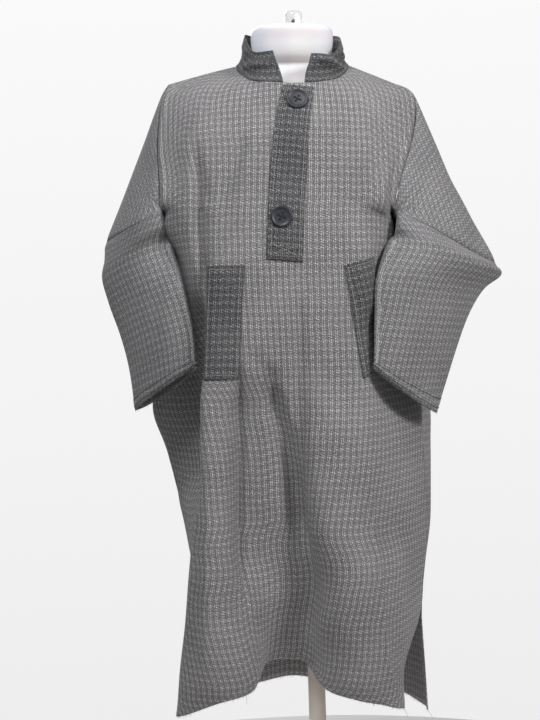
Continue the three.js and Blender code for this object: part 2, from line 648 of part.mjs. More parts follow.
// Collar, placket and pocket welts in the darker cloth.
const collarSeam = COLLAR_SEAM.map(([panel, column]) => {
  const p = panel === 'F' ? frontPlace(column / 11, 0) : backPlace(column / 8, 0);
  return [p.x, p.y, p.z];
});
const collarBack = (u) => (u > 0.28 && u < 0.72 ? 0.7 : 1.3);
addLeaning('collar', clothWall(surface([collarSeam, COLLAR_TOP], false), 36, 4, COLLAR_WALL,
  false, { top: collarBack }), PALETTE.trimCloth);
const trimLift = WALL / 2 + TRIM_CLEAR + TRIM_WALL / 2;
const weltLift = trimLift + 0.3;
addLeaning('placket', stripOnFront(frontPlace, PLACKET, 6, 20, trimLift, TRIM_WALL),
  PALETTE.trimCloth);
addLeaning('pocket_welt_right', stripOnFront(frontPlace, WELT_LEFT, 6, 12, weltLift, TRIM_WALL),
  PALETTE.trimCloth);
addLeaning('pocket_welt_left', stripOnFront(frontPlace, WELT_RIGHT, 7, 12, weltLift, TRIM_WALL),
  PALETTE.trimCloth);

// Buttons sit on the placket with their sewing holes squared to it.
const buttonLift = trimLift + TRIM_WALL / 2 + TRIM_CLEAR + 0.2;
for (const [name, [x, z]] of Object.entries(BUTTONS)) {
  addLeaning(name, seatOnFront(buttonSolid(), frontPlace, x, z, buttonLift, 0.3), PALETTE.button);
}

// The stand: form, clear knob with its bolt, pole and plain round base.
addLeaning('dress_form', formSolid(), PALETTE.formPlastic);
const knob = turned([[0, 0], [13, 0], [15, 2], [15, 19], [12.5, 24], [0, 26]], 24);
knob.translate(FORM_CENTRE_X + 3, -4, 1513.3);
addLeaning('form_knob', knob, PALETTE.clearPlastic);
const pole = turned([[0, 0], [POLE_RADIUS, 0], [POLE_RADIUS, POLE_HEIGHT], [0, POLE_HEIGHT]], 28);
pole.translate(0, 0, BASE_THICK + 0.3);
add('pole', pole, PALETTE.polePaint);
add('base_plate', turned([[0, 0], [BASE_RADIUS, 0], [BASE_RADIUS, BASE_THICK - 4],
  [BASE_RADIUS - 4, BASE_THICK], [0, BASE_THICK]], 56), PALETTE.polePaint);

export default assembly;
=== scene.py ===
import math

import bpy
import numpy as np
from mathutils import Matrix, Vector


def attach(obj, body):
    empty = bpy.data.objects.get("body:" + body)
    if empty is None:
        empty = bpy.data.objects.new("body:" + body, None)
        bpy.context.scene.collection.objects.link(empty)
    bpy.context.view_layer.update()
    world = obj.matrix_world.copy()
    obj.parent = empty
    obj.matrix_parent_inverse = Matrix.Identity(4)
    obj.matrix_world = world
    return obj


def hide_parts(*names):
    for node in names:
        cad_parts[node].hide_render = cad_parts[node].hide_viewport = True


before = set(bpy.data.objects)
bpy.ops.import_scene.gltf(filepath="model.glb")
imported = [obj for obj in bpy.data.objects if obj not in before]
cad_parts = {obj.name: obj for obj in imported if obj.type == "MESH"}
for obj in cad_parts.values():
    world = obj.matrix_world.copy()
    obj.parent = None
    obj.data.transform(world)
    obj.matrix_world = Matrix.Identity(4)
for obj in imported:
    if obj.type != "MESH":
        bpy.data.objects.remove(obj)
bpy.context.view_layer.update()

scene = bpy.context.scene

# ---------------------------------------------------------------- camera
# Stands 2.4 m in front of the stand's pole at chest height, a little to the wearer's right. It
# looks slightly down and is rolled by under two degrees.
CAMERA_PLACE = Vector((-0.062, -2.4, 1.072))
CAMERA_DOWN = math.radians(2.85)
CAMERA_ROLL = math.radians(1.88)
camera_data = bpy.data.cameras.new("camera")
camera_data.sensor_width = 36.0
camera_data.lens = 70.6
camera_data.clip_end = 60.0
camera = bpy.data.objects.new("camera", camera_data)
scene.collection.objects.link(camera)
ahead = Vector((0, math.cos(CAMERA_DOWN), -math.sin(CAMERA_DOWN)))
level = Vector((1, 0, 0))
across = level * math.cos(CAMERA_ROLL) - level.cross(ahead) * math.sin(CAMERA_ROLL)
above = across.cross(ahead)
turn = Matrix((across, above, -ahead)).transposed()
camera.matrix_world = Matrix.Translation(CAMERA_PLACE) @ turn.to_4x4()
scene.camera = camera

# ---------------------------------------------------------------- front panel
# Front of the pheran: one width of soft wool tweed, joined to the back at the shoulders and
# down the sides to the slits, and to the sleeves at the armholes. It hangs in deep soft folds.
WALL = 2.0
SEAM = 0.15
ARMHOLE_END = 4 / 14
# Points of the cloth in millimetres: a row for each height and twelve columns from the
# wearer's right seam to the left one.
FRONT_POINTS = [
    [[-226, 0, 1419], [-165, 0, 1435], [-109, 0, 1448], [-103, -37, 1430], [-84, -69, 1414],
      [-56, -87, 1409], [-16, -95, 1406], [24, -87, 1408], [52, -69, 1414], [71, -37, 1430],
      [77, 0, 1447], [164, 0, 1411]],
    [[-236, -26, 1388], [-182, -56, 1391], [-138, -73, 1395], [-104, -87, 1391], [-72, -97, 1384],
      [-40, -103, 1380], [-16, -105, 1378], [10, -103, 1379], [42, -95, 1384], [76, -82, 1391],
      [120, -61, 1393], [189, -22, 1388]],
    [[-242, -55, 1316], [-212, -80, 1316], [-182, -104, 1316], [-136, -112, 1316],
      [-92, -121, 1316], [-50, -126, 1316], [-16, -127, 1316], [18, -125, 1316],
      [56, -119, 1316], [92, -107, 1316], [132, -84, 1316], [179, -56, 1316]],
    [[-235, -84, 1218], [-209, -104, 1221], [-173, -126, 1222], [-132, -132, 1222],
      [-92, -134, 1222], [-52, -137, 1222], [-18, -137, 1222], [16, -136, 1222],
      [54, -132, 1222], [90, -123, 1221], [120, -110, 1216], [145, -91, 1208]],
    [[-224, -8, 1196], [-211, -96, 1192], [-170, -129, 1190], [-132, -136, 1190],
      [-93, -138, 1190], [-54, -139, 1190], [-20, -139, 1190], [14, -138, 1190],
      [50, -135, 1190], [86, -127, 1188], [119, -80, 1185], [160, -12, 1182]],
    [[-227, 32, 1105], [-197, -88, 1105], [-169, -136, 1105], [-130, -142, 1105],
      [-94, -143, 1105], [-56, -144, 1105], [-20, -143, 1105], [12, -143, 1105],
      [48, -140, 1105], [88, -129, 1105], [116, -68, 1105], [156, 18, 1105]],
    [[-232, 38, 1020], [-182, -78, 1020], [-171, -138, 1020], [-132, -145, 1020],
      [-98, -145, 1020], [-58, -147, 1020], [-18, -142, 1020], [10, -144, 1020],
      [46, -143, 1020], [90, -131, 1020], [118, -66, 1020], [162, 16, 1020]],
    [[-252, 42, 945], [-176, -68, 945], [-174, -140, 945], [-138, -149, 945], [-104, -146, 945],
      [-62, -147, 945], [-16, -139, 945], [10, -145, 945], [48, -147, 945], [95, -133, 945],
      [125, -68, 945], [175, 8, 945]],
    [[-266, 44, 870], [-177, -70, 870], [-178, -142, 870], [-144, -152, 870], [-109, -145, 870],
      [-64, -146, 870], [-14, -135, 870], [12, -146, 870], [52, -151, 870], [98, -138, 870],
      [142, -82, 870], [190, -22, 870]],
    [[-244, 38, 800], [-184, -72, 800], [-182, -144, 800], [-148, -155, 800], [-112, -143, 800],
      [-66, -143, 800], [-10, -128, 800], [12, -146, 800], [54, -154, 800], [98, -141, 800],
      [148, -92, 800], [193, -25, 800]],
    [[-216, 22, 682], [-190, -72, 682], [-189, -142, 682], [-152, -159, 682], [-113, -140, 682],
      [-67, -130, 682], [-4, -110, 682], [22, -146, 682], [60, -157, 682], [100, -142, 682],
      [152, -95, 682], [199, -20, 682]],
    [[-199, 12, 600], [-194, -72, 600], [-198, -138, 600], [-154, -161, 600], [-106, -138, 600],
      [-64, -112, 600], [8, -92, 600], [40, -140, 600], [74, -155, 600], [108, -142, 600],
      [152, -97, 600], [193, -20, 600]],
    [[-196, 10, 524], [-198, -70, 524], [-206, -130, 524], [-156, -161, 524], [-101, -136, 524],
      [-64, -88, 524], [0, -72, 524], [34, -128, 524], [72, -146, 524], [112, -136, 524],
      [150, -95, 524], [185, -26, 524]],
    [[-200, 4, 440], [-208, -62, 440], [-216, -118, 440], [-160, -154, 440], [-96, -128, 440],
      [-70, -56, 452], [-10, -50, 450], [26, -116, 440], [70, -134, 440], [112, -124, 440],
      [136, -98, 440], [153, -66, 440]],
    [[-210, -8, 358], [-226, -60, 364], [-217, -104, 373], [-160, -140, 402], [-98, -118, 418],
      [-80, -42, 452], [-20, -38, 450], [19, -104, 415], [69, -119, 399], [112, -108, 387],
      [137, -92, 376], [153, -70, 369]],
]

# Fold lines on the front, as X and Z along them, with the fold's width (one for both sides, or
# right and left) and its height in millimetres: below zero a crease and above zero a ridge.
FRONT_FOLDS = [
    ((16, 66), -15, [(-110, 961), (-110, 896), (-110, 800), (-112, 699), (-107, 621), (-103, 552)]),
    ((12, 22), 8, [(-160, 930), (-162, 818), (-164, 673), (-170, 513), (-176, 411)]),
    ((34, 7), -21, [(-186, 990), (-186, 891), (-186, 800), (-190, 700)]),
    ((20, 9), -23, [(-66, 960), (-46, 880), (-32, 830), (-20, 764), (-13, 697), (1, 628)]),
    (5, -10, [(-110, 990), (-110, 896), (-110, 800), (-112, 699), (-107, 621), (-103, 530)]),
    (5, -7, [(-178, 1315), (-174, 1250), (-173, 1174), (-174, 1105), (-177, 1043)]),
    ((30, 46), 14, [(15, 942), (12, 846), (11, 731), (18, 658), (39, 581), (29, 500), (23, 431)]),
    (5, 4, [(90, 828), (91, 764), (102, 668), (110, 567), (120, 462), (142, 380)]),
    ((5, 22), -14, [(-180, 1315), (-176, 1250), (-175, 1174), (-176, 1105), (-179, 1043),
               (-186, 891)]),
    (7, -3, [(-181, 1335), (-172, 1283), (-160, 1229), (-152, 1198)]),
    (12, -5.5, [(-88, 1332), (-108, 1289), (-131, 1233), (-148, 1195)]),
    ((24, 9), 9, [(138, 1270), (124, 1229), (113, 1152), (101, 1069), (98, 1000)]),
    (12, -4, [(82, 1225), (81, 1178), (82, 1134)]),
    (8, -5, [(-13, 1071), (-14, 1007), (-16, 942), (-20, 895), (-29, 846)]),
    (12, -4, [(-94, 977), (-81, 955), (-59, 937), (-31, 930)]),
    ((8, 5), -5, [(157, 1296), (140, 1229), (129, 1152), (115, 1069)]),
    (16, 5, [(-79, 1344), (-95, 1248), (-113, 1152)]),
    (30, -3, [(-77, 940), (-72, 800), (-70, 666), (-67, 528)]),
    (20, 2.5, [(56, 862), (58, 734), (64, 605), (68, 436)]),
]


def smooth(x):
    """Eases a share from 0 to 1, flat at both ends."""
    x = np.clip(x, 0, 1)
    return x * x * (3 - 2 * x)


def curved(p, q, r, s, t):
    """The point at share t of the way from q to r on a smooth curve through all four."""
    return 0.5 * (2 * q + (r - p) * t + (2 * p - 5 * q + 4 * r - s) * t**2
                  + (3 * q - p - 3 * r + s) * t**3)


def between(points, t, ring=False, corners=None):
    """Points at shares t along curves: points has one array for each place on the curve."""
    count = len(points)
    spans = count if ring else count - 1
    place = np.clip(t, 0, 1) * spans
    span = np.minimum(np.floor(place).astype(int), spans - 1)
    part = (place - span)[:, None]
    rows = np.arange(points.shape[1])

    def at(k):
        if ring:
            return points[k % count, rows]
        found = points[np.clip(k, 0, count - 1), rows]
        before = (k < 0)[:, None]
        after = (k >= count)[:, None]
        found = np.where(before, 2 * points[0, rows] - points[1, rows], found)
        return np.where(after, 2 * points[-1, rows] - points[-2, rows], found)

    q, r = at(span), at(span + 1)
    p, s = at(span - 1), at(span + 2)
    if corners is not None:
        near = corners[np.clip(span, 0, count - 1), rows][:, None]
        far = corners[np.clip(span + 1, 0, count - 1), rows][:, None]
        p = p + (2 * q - r - p) * near
        s = s + (2 * r - q - s) * far
    return curved(p, q, r, s, part)


def cloth_surface(table, ring=False, edge_rows=(), top_columns=()):
    """A surface through a table of points, as a function of u along the rows and v down them.

    Its side edges turn sharply at edge_rows, and its top edge at top_columns.
    """
    table = np.array(table, float)
    rows, columns = table.shape[:2]
    edge_sharp = np.zeros(rows)
    for k in edge_rows:
        edge_sharp[k] = 1

    def place(u, v):
        u, v = np.broadcast_arrays(np.asarray(u, float), np.asarray(v, float))
        shape = u.shape
        u, v = u.ravel(), v.ravel()
        lines = []
        for c in range(columns):
            line = np.repeat(table[:, c][:, None], len(v), axis=1)
            sharp = None
            if not ring and c in (0, columns - 1):
                sharp = np.repeat(edge_sharp[:, None], len(v), axis=1)
            lines.append(between(line, v, False, sharp))
        corners = np.zeros((columns, len(v)))
        for c in top_columns:
            corners[c] = np.maximum(0, 1 - v * (rows - 1))
        found = between(np.array(lines), u, ring, corners)
        return found.reshape(*shape, 3)

    return place


def outward(place, u, v, side, ring=False, step=0.003):
    """Unit normals of a surface; side is 1 or -1, whichever points away from the body."""
    u, v = np.broadcast_arrays(np.asarray(u, float), np.asarray(v, float))
    u_low = (u - step) % 1 if ring else np.maximum(u - step, 0)
    u_high = (u + step) % 1 if ring else np.minimum(u + step, 1)
    along = place(u_high, v) - place(u_low, v)
    down = place(u, np.minimum(v + step, 1)) - place(u, np.maximum(v - step, 0))
    n = np.cross(along, down)
    return side * n / np.linalg.norm(n, axis=-1, keepdims=True)


def line_distance(points, line, axes):
    """Distance from each point to a line of corners, and the share of the way along it."""
    line = np.array(line, float)
    p = points[..., axes]
    lengths = np.linalg.norm(np.diff(line, axis=0), axis=1)
    starts = np.concatenate([[0], np.cumsum(lengths)])
    best = np.full(p.shape[:-1], 1e9)
    where = np.zeros(p.shape[:-1])
    for k, (a, b) in enumerate(zip(line[:-1], line[1:])):
        share = np.clip(((p - a) @ (b - a)) / max((b - a) @ (b - a), 1e-9), 0, 1)
        away = np.linalg.norm(p - (a + share[..., None] * (b - a)), axis=-1)
        nearer = away < best
        best = np.where(nearer, away, best)
        where = np.where(nearer, starts[k] + share * lengths[k], where)
    return best, where / starts[-1]


def folds_at(points, folds, axes=(0, 2)):
    """How far the fold lines push the cloth out at each point."""
    total = np.zeros(points.shape[:-1])
    for width, height, line in folds:
        away, share = line_distance(points, line, list(axes))
        fade = smooth(share / 0.22) * smooth((1 - share) / 0.22)
        if isinstance(width, tuple):
            heights = [h for _, h in line[::-1]]
            beside = points[..., 0] - np.interp(points[..., 2], heights, [x for x, _ in line[::-1]])
            width = np.where(beside < 0, width[0], width[1])
        total += height * fade * np.exp(-(away / width) ** 2)
    return total


def ripples(points, seed, height=1.0):
    """Slow uneven swells of the cloth, about a hand's width apart."""
    draw = np.random.default_rng(seed)
    total = np.zeros(points.shape[:-1])
    for size in (260, 190, 130, 95, 70):
        for _ in range(2):
            way = draw.normal(size=3) * (1.0, 0.8, 0.55)
            way *= 2 * math.pi / size / np.linalg.norm(way)
            total += size / 260 * np.sin(points @ way + draw.uniform(0, 6.28))
    return height * total


ASKEW = math.radians(0.88)
ASKEW_POINT = np.array((-62.0, 0.0, 955.0))


def hung(points):
    """Millimetre points of the straight garment, leaned as it hangs and turned into metres."""
    x, y, z = np.moveaxis(np.asarray(points, float) - ASKEW_POINT, -1, 0)
    c, s = math.cos(ASKEW), math.sin(ASKEW)
    turned = np.stack([x * c + z * s, y, z * c - x * s], axis=-1)
    return (turned + ASKEW_POINT) / 1000


def grid_normals(points, side, ring=False):
    """Unit normals of a grid of points."""
    if ring:
        along = np.roll(points, -1, axis=1) - np.roll(points, 1, axis=1)
    else:
        along = np.gradient(points, axis=1)
    n = np.cross(along, np.gradient(points, axis=0))
    return side * n / np.maximum(np.linalg.norm(n, axis=-1, keepdims=True), 1e-9)


def weave_lengths(points, ring, centre, level_row):
    """Threads' lengths along and down a grid of points, in metres: the pattern's own map."""
    closed = np.concatenate([points, points[:, :1]], axis=1) if ring else points
    along = np.linalg.norm(np.diff(closed, axis=1), axis=2)
    u = np.concatenate([np.zeros((len(points), 1)), np.cumsum(along, axis=1)], axis=1)
    u -= u[:, [int(round(centre * (u.shape[1] - 1)))]]
    down = np.linalg.norm(np.diff(closed, axis=0), axis=2)
    v = np.concatenate([np.zeros((1, closed.shape[1])), np.cumsum(down, axis=0)], axis=0)
    v -= v[[int(round(level_row * (len(v) - 1)))]]
    return np.stack([u, -v], axis=-1) / 1000


def make_object(name, points, faces, uvs=None, soft=True):
    """A mesh object at the origin from points in metres, with the weave's map for each face."""
    mesh = bpy.data.meshes.new(name)
    mesh.from_pydata(np.asarray(points).tolist(), [], [list(map(int, f)) for f in faces])
    if uvs is not None:
        layer = mesh.uv_layers.new(name="weave")
        layer.data.foreach_set("uv", np.asarray(uvs, np.float32).ravel())
    mesh.polygons.foreach_set("use_smooth", [soft] * len(mesh.polygons))
    mesh.validate()
    mesh.update()
    made = bpy.data.objects.new(name, mesh)
    scene.collection.objects.link(made)
    return made


def cloth_wall(name, points, normals, uv, thick, ring=False, flip=False):
    """Gives a grid of points its thickness: two faces of cloth and a rim round the open edges."""
    rows, cols = points.shape[:2]
    outer = hung(points + normals * thick / 2).reshape(-1, 3)
    inner = hung(points - normals * thick / 2).reshape(-1, 3)
    start = rows * cols
    j, i = np.meshgrid(np.arange(rows - 1), np.arange(cols if ring else cols - 1), indexing="ij")
    j, i = j.ravel(), i.ravel()
    nxt = (i + 1) % cols
    a, b = j * cols + i, j * cols + nxt
    c, d = (j + 1) * cols + nxt, (j + 1) * cols + i
    ta, tb = uv[j, i], uv[j, i + 1]
    tc, td = uv[j + 1, i + 1], uv[j + 1, i]
    faces = [np.stack([a, b, c, d], 1), np.stack([a, d, c, b], 1) + start]
    maps = [np.stack([ta, tb, tc, td], 1), np.stack([ta, td, tc, tb], 1)]

    def rim(p, q, tp, tq):
        faces.append(np.stack([p + start, q + start, q, p], 1))
        maps.append(np.stack([tp, tq, tq, tp], 1))

    top = np.arange(cols if ring else cols - 1)
    low = (rows - 1) * cols
    rim(top, (top + 1) % cols, uv[0, top], uv[0, top + 1])
    rim(low + (top + 1) % cols, low + top, uv[-1, top + 1], uv[-1, top])
    if not ring:
        edge = np.arange(rows - 1)
        rim((edge + 1) * cols, edge * cols, uv[1:, 0], uv[:-1, 0])
        last = cols - 1
        rim(edge * cols + last, (edge + 1) * cols + last, uv[:-1, -1], uv[1:, -1])
    faces, maps = np.concatenate(faces), np.concatenate(maps)
    if flip:
        faces, maps = faces[:, ::-1], maps[:, ::-1]
    return make_object(name, np.concatenate([outer, inner]), faces, maps)


def drawn_back(place, u, v, edges):
    """Shares u and v of a grid, pulled in from its edges by the given millimetres."""
    reach, step = 0.12, 0.004
    u, v = u.copy(), v.copy()
    for name, amount in edges.items():
        sideways = name in ("left", "right")
        edge = 1.0 if name in ("right", "bottom") else 0.0
        inwards = 1 - 2 * edge
        here, other = (u, v) if sideways else (v, u)
        near = np.maximum(0, 1 - (here if edge == 0 else 1 - here) / reach)
        ends = [(at + 0 * other, other) for at in (edge + step * inwards, edge)]
        inside, outside = (place(*(end if sideways else end[::-1])) for end in ends)
        pace = np.linalg.norm(inside - outside, axis=-1)
        here += inwards * near * (amount(other) if callable(amount) else amount) * step / pace
    return u, v


def share_grid(cols, rows, ring=False):
    """Even shares along and down a piece."""
    count = cols if ring else cols + 1
    return np.meshgrid(np.arange(count) / cols, np.arange(rows + 1) / rows)


class Yarn:
    """A value in a finish's nodes; arithmetic on it adds Math nodes."""

    def __init__(self, tree, socket):
        self.tree = tree
        self.socket = socket

    def maths(self, operation, *values, clamp=False):
        return node(self.tree, "ShaderNodeMath", {"operation": operation, "use_clamp": clamp},
                    {k: v for k, v in enumerate(values)})

    def __add__(self, other):
        return self.maths("ADD", self, other)

    def __radd__(self, other):
        return self.maths("ADD", other, self)

    def __sub__(self, other):
        return self.maths("SUBTRACT", self, other)

    def __rsub__(self, other):
        return self.maths("SUBTRACT", other, self)

    def __mul__(self, other):
        return self.maths("MULTIPLY", self, other)

    def __rmul__(self, other):
        return self.maths("MULTIPLY", other, self)

    def __truediv__(self, other):
        return self.maths("DIVIDE", self, other)

    def wave(self):
        """0 to 1 and back to 0 over each whole number."""
        return 1 - self.maths("ABSOLUTE", 2 * self.maths("FRACT", self) - 1)

    def above(self, start, width):
        """0 below start, rising to 1 over the width."""
        return self.maths("MULTIPLY", self - start, 1 / width, clamp=True)


def node(tree, kind, settings=None, values=None, out=0):
    """Adds a node: its settings first, then the value or link of each named socket."""
    made = tree.nodes.new(kind)
    for name, value in (settings or {}).items():
        if name == "stops":
            ramp = made.color_ramp
            while len(ramp.elements) < len(value):
                ramp.elements.new(0.5)
            for stop, (at, colour) in zip(ramp.elements, value):
                stop.position, stop.color = at, colour
        else:
            setattr(made, name, value)
    for name, value in (values or {}).items():
        socket = made.inputs[name]
        if isinstance(value, Yarn):
            tree.links.new(value.socket, socket)
        elif isinstance(value, bpy.types.NodeSocket):
            tree.links.new(value, socket)
        else:
            socket.default_value = value
    return made if out == "node" else Yarn(tree, made.outputs[out])


def new_finish(name, **constants):
    """A material with its shader; constants are set on the shader's own sockets."""
    finish = bpy.data.materials.new(name)
    finish.use_nodes = True
    tree = finish.node_tree
    shader = tree.nodes["Principled BSDF"]
    for key, value in constants.items():
        shader.inputs[key.replace("_", " ")].default_value = value
    return finish, tree, shader


def clouded_finish(name, low, high, scale, detail=2.0, stops=(0.3, 0.7), rough=None,
                   distortion=0.0, **constants):
    """A finish clouded between two colours, and in roughness too where rough gives its range."""
    finish, tree, shader = new_finish(name, **constants)
    cloud = node(tree, "ShaderNodeTexNoise", {}, {
        "Vector": node(tree, "ShaderNodeTexCoord", out="Object"), "Scale": scale,
        "Detail": detail, "Distortion": distortion})
    shade = node(tree, "ShaderNodeValToRGB", {"stops": [
        (stops[0], (*low, 1)), (stops[1], (*high, 1))]}, {"Fac": cloud})
    tree.links.new(shade.socket, shader.inputs["Base Color"])
    if rough:
        tree.links.new((rough[0] + cloud * rough[1]).socket, shader.inputs["Roughness"])
    return finish


def dress(piece, finish, stands_for=None):
    """Gives a piece its finish, hangs it on the root body and hides the solid it stands for."""
    piece.data.materials.append(finish)
    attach(piece, "root")
    if stands_for:
        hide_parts(stands_for)


COLUMN_PITCH = 0.0100
LINE_PITCH = 0.0033
DOT_PITCH = 0.0042
ROW_PITCH = 0.0124


def tweed_finish(name, ground, fleck, fleck_share, grid_share):
    """Wool tweed: a dark ground with pale flecks that lie in upright ladders and level rows."""
    finish, tree, shader = new_finish(
        name, Roughness=0.95, Sheen_Weight=0.12, Sheen_Roughness=0.6, Specular_IOR_Level=0.15)
    shader.inputs["Sheen Tint"].default_value = (0.9, 0.9, 0.95, 1)
    place = node(tree, "ShaderNodeUVMap", {"uv_map": "weave"}, out="UV")
    sway = node(tree, "ShaderNodeTexNoise", {}, {"Vector": place, "Scale": 28.0, "Detail": 1.0},
                out="Color")
    sway = node(tree, "ShaderNodeVectorMath", {"operation": "SUBTRACT"},
                {0: sway, 1: (0.5, 0.5, 0.5)})
    sway = node(tree, "ShaderNodeVectorMath", {"operation": "SCALE"},
                {0: sway, "Scale": 0.0022})
    moved = node(tree, "ShaderNodeVectorMath", {"operation": "ADD"}, {0: place, 1: sway})
    split = node(tree, "ShaderNodeSeparateXYZ", {}, {"Vector": moved}, out="node")
    u, v = Yarn(tree, split.outputs["X"]), Yarn(tree, split.outputs["Y"])
    ladder = (u / COLUMN_PITCH).wave().above(0.30, 0.18)
    line = (u / LINE_PITCH + 0.5).wave().above(0.40, 0.35)
    dot = (v / DOT_PITCH + u * 90.0).wave().above(0.30, 0.35)
    level_row = (v / ROW_PITCH).wave().above(0.50, 0.25)
    fine = node(tree, "ShaderNodeTexNoise", {}, {"Vector": place, "Scale": 620.0, "Detail": 1.0,
                                                 "Roughness": 0.6})
    patch = node(tree, "ShaderNodeTexNoise", {}, {"Vector": place, "Scale": 11.0, "Detail": 3.0})
    speck = node(tree, "ShaderNodeTexNoise", {}, {"Vector": place, "Scale": 260.0,
                                                  "Detail": 1.0}).above(0.36, 0.3)
    pale = ladder * (0.08 + 0.92 * line * dot) * (1 - grid_share + grid_share * level_row)
    pale = pale * (0.45 + 0.9 * speck) + level_row * line * dot * 0.5 * (1 - ladder) * grid_share
    amount = pale * fleck_share + (fine - 0.5) * 1.4 + (patch - 0.5) * 0.22
    amount = amount.maths("ADD", amount, 0.12, clamp=True)
    colour = node(tree, "ShaderNodeMix", {"data_type": "RGBA"},
                  {"Factor": amount, 6: (*ground, 1), 7: (*fleck, 1)}, out=2)
    tree.links.new(colour.socket, shader.inputs["Base Color"])
    height = pale * 0.5 + fine * 0.5
    bump = node(tree, "ShaderNodeBump", {}, {"Strength": 0.5, "Distance": 0.0006,
                                             "Height": height})
    tree.links.new(bump.socket, shader.inputs["Normal"])
    return finish


body_tweed = tweed_finish("body tweed", (0.082, 0.081, 0.083), (0.76, 0.74, 0.745), 1.02, 0.54)

UNDERARM_ROW = 4
SLIT_ROW = 11
front_place = cloth_surface(FRONT_POINTS, False, (UNDERARM_ROW, SLIT_ROW), (2, 10))


def side_swell(points):
    """Loose cloth under the arms, pushed out towards the sleeves."""
    x, y, z = np.moveaxis(points, -1, 0)
    right = 16 * np.exp(-((z - 1176) / 36) ** 2 - ((y + 62) / 42) ** 2) * smooth((-x - 150) / 30)
    left = 20 * np.exp(-((z - 1160) / 42) ** 2 - ((y + 70) / 40) ** 2) * smooth((x - 70) / 30)
    return points + (left - right)[..., None] * (1, 0, 0)


SHOULDER_REST = 1400
REST_FADE = 60


def panel_cloth(place, u, v, side, folds, seed, swell):
    """Middle of a panel's cloth: its folds fade out where it lies on the form's shoulders."""
    base = place(u, v)
    free = smooth((SHOULDER_REST - base[..., 2]) / REST_FADE)
    relief = free * (folds_at(base, folds) + ripples(base, seed, swell))
    return side_swell(base + outward(place, u, v, side) * relief[..., None])


def front_cloth(u, v):
    """Middle of the front's cloth, for the front itself and for what is sewn on it."""
    return panel_cloth(front_place, u, v, -1, FRONT_FOLDS, 3, 0.45)


def edge_groove(share, depth, width):
    """A seam's or hem's dip next to an edge, from the distance to it in millimetres."""
    return -depth * np.exp(-(share / width) ** 2)


def seam_ridges(points, side, v):
    """The cloth's rise beside both armhole seams, where the turnings lie under it."""
    step = np.linalg.norm(np.diff(points, axis=1), axis=2)
    start = np.concatenate([np.zeros((len(points), 1)), np.cumsum(step, axis=1)], axis=1)
    rise = sum(2.6 * np.exp(-((away - 8) / 4.5) ** 2) + edge_groove(away, 1.6, 3.0)
               for away in (start, start[:, -1:] - start))
    rise = rise * smooth((ARMHOLE_END - v) / 0.04) * smooth(v / 0.02)
    return points + grid_normals(points, side) * rise[..., None]


def corner_back(edge):
    """How far the panels are drawn back from their shared edge (0 right, 1 left), down it."""
    def amount(v):
        inside = 0.01 if edge == 0 else 0.99
        ways = []
        for place in (front_place, back_place):
            way = place(inside + 0 * v, v) - place(edge + 0 * v, v)
            ways.append(way / np.linalg.norm(way, axis=-1, keepdims=True))
        angle = np.arccos(np.clip((ways[0] * ways[1]).sum(-1), -1, 1))
        reach = SEAM + np.minimum(3.5, WALL / 2 / np.tan(np.maximum(angle, 0.3) / 2))
        near = np.maximum(0, 1 - np.abs(v - ARMHOLE_END) * 14)
        return np.where(v < ARMHOLE_END, 0.9, reach) + 1.2 * near
    return amount


# The back's points are needed here, because both panels are drawn back from the seams that they
# share. The first and last of each row are the front's, but for the armholes and the slits.
BACK_POINTS = [
    [[-165, 0, 1435], [-109, 0, 1448], [-74, 54, 1453], [-16, 74, 1455], [42, 54, 1453],
      [77, 0, 1447], [120, 0, 1430]],
    [[-178, 50, 1395], [-132, 68, 1400], [-78, 86, 1404], [-16, 92, 1405], [48, 86, 1404],
      [96, 68, 1400], [142, 48, 1394]],
    [[-196, 82, 1316], [-144, 98, 1316], [-80, 108, 1316], [-16, 111, 1316], [48, 108, 1316],
      [104, 96, 1316], [144, 80, 1316]],
    [[-200, 98, 1220], [-146, 113, 1220], [-82, 120, 1220], [-16, 122, 1220], [48, 120, 1220],
      [104, 110, 1218], [140, 92, 1215]],
    [[-222, 86, 1192], [-156, 117, 1190], [-82, 124, 1190], [-16, 126, 1190], [50, 124, 1190],
      [112, 112, 1188], [162, 78, 1186]],
    [[-228, 94, 1105], [-160, 126, 1105], [-84, 130, 1105], [-18, 134, 1105], [50, 130, 1105],
      [114, 118, 1105], [166, 84, 1105]],
    [[-232, 102, 1020], [-166, 133, 1020], [-88, 135, 1020], [-18, 142, 1020], [50, 136, 1020],
      [114, 126, 1020], [172, 88, 1020]],
    [[-236, 108, 945], [-168, 140, 945], [-92, 142, 945], [-20, 151, 945], [52, 142, 945],
      [118, 136, 945], [192, 84, 945]],
    [[-246, 112, 870], [-174, 147, 870], [-96, 148, 870], [-20, 161, 870], [54, 148, 870],
      [124, 144, 870], [212, 72, 870]],
    [[-230, 110, 800], [-178, 154, 800], [-100, 152, 800], [-22, 170, 800], [56, 152, 800],
      [128, 151, 800], [211, 68, 800]],
    [[-208, 102, 682], [-182, 162, 682], [-102, 156, 682], [-24, 184, 682], [58, 156, 682],
      [132, 160, 682], [206, 64, 682]],
    [[-198, 96, 600], [-184, 168, 600], [-104, 160, 600], [-24, 194, 600], [60, 160, 600],
      [134, 165, 600], [196, 60, 600]],
    [[-197, 92, 524], [-186, 172, 524], [-106, 164, 524], [-24, 202, 524], [60, 164, 524],
      [134, 168, 524], [188, 56, 524]],
    [[-200, 88, 440], [-188, 176, 440], [-108, 168, 440], [-26, 210, 440], [62, 168, 440],
      [134, 170, 440], [190, 52, 440]],
    [[-205, 82, 347], [-190, 178, 346], [-110, 172, 346], [-26, 216, 349], [62, 172, 345],
      [136, 172, 344], [196, 50, 342]],
]
BACK_SLIT_LEFT_SIDE = {12: [187, -18, 524], 13: [194, -2, 440], 14: [201, 8, 342]}
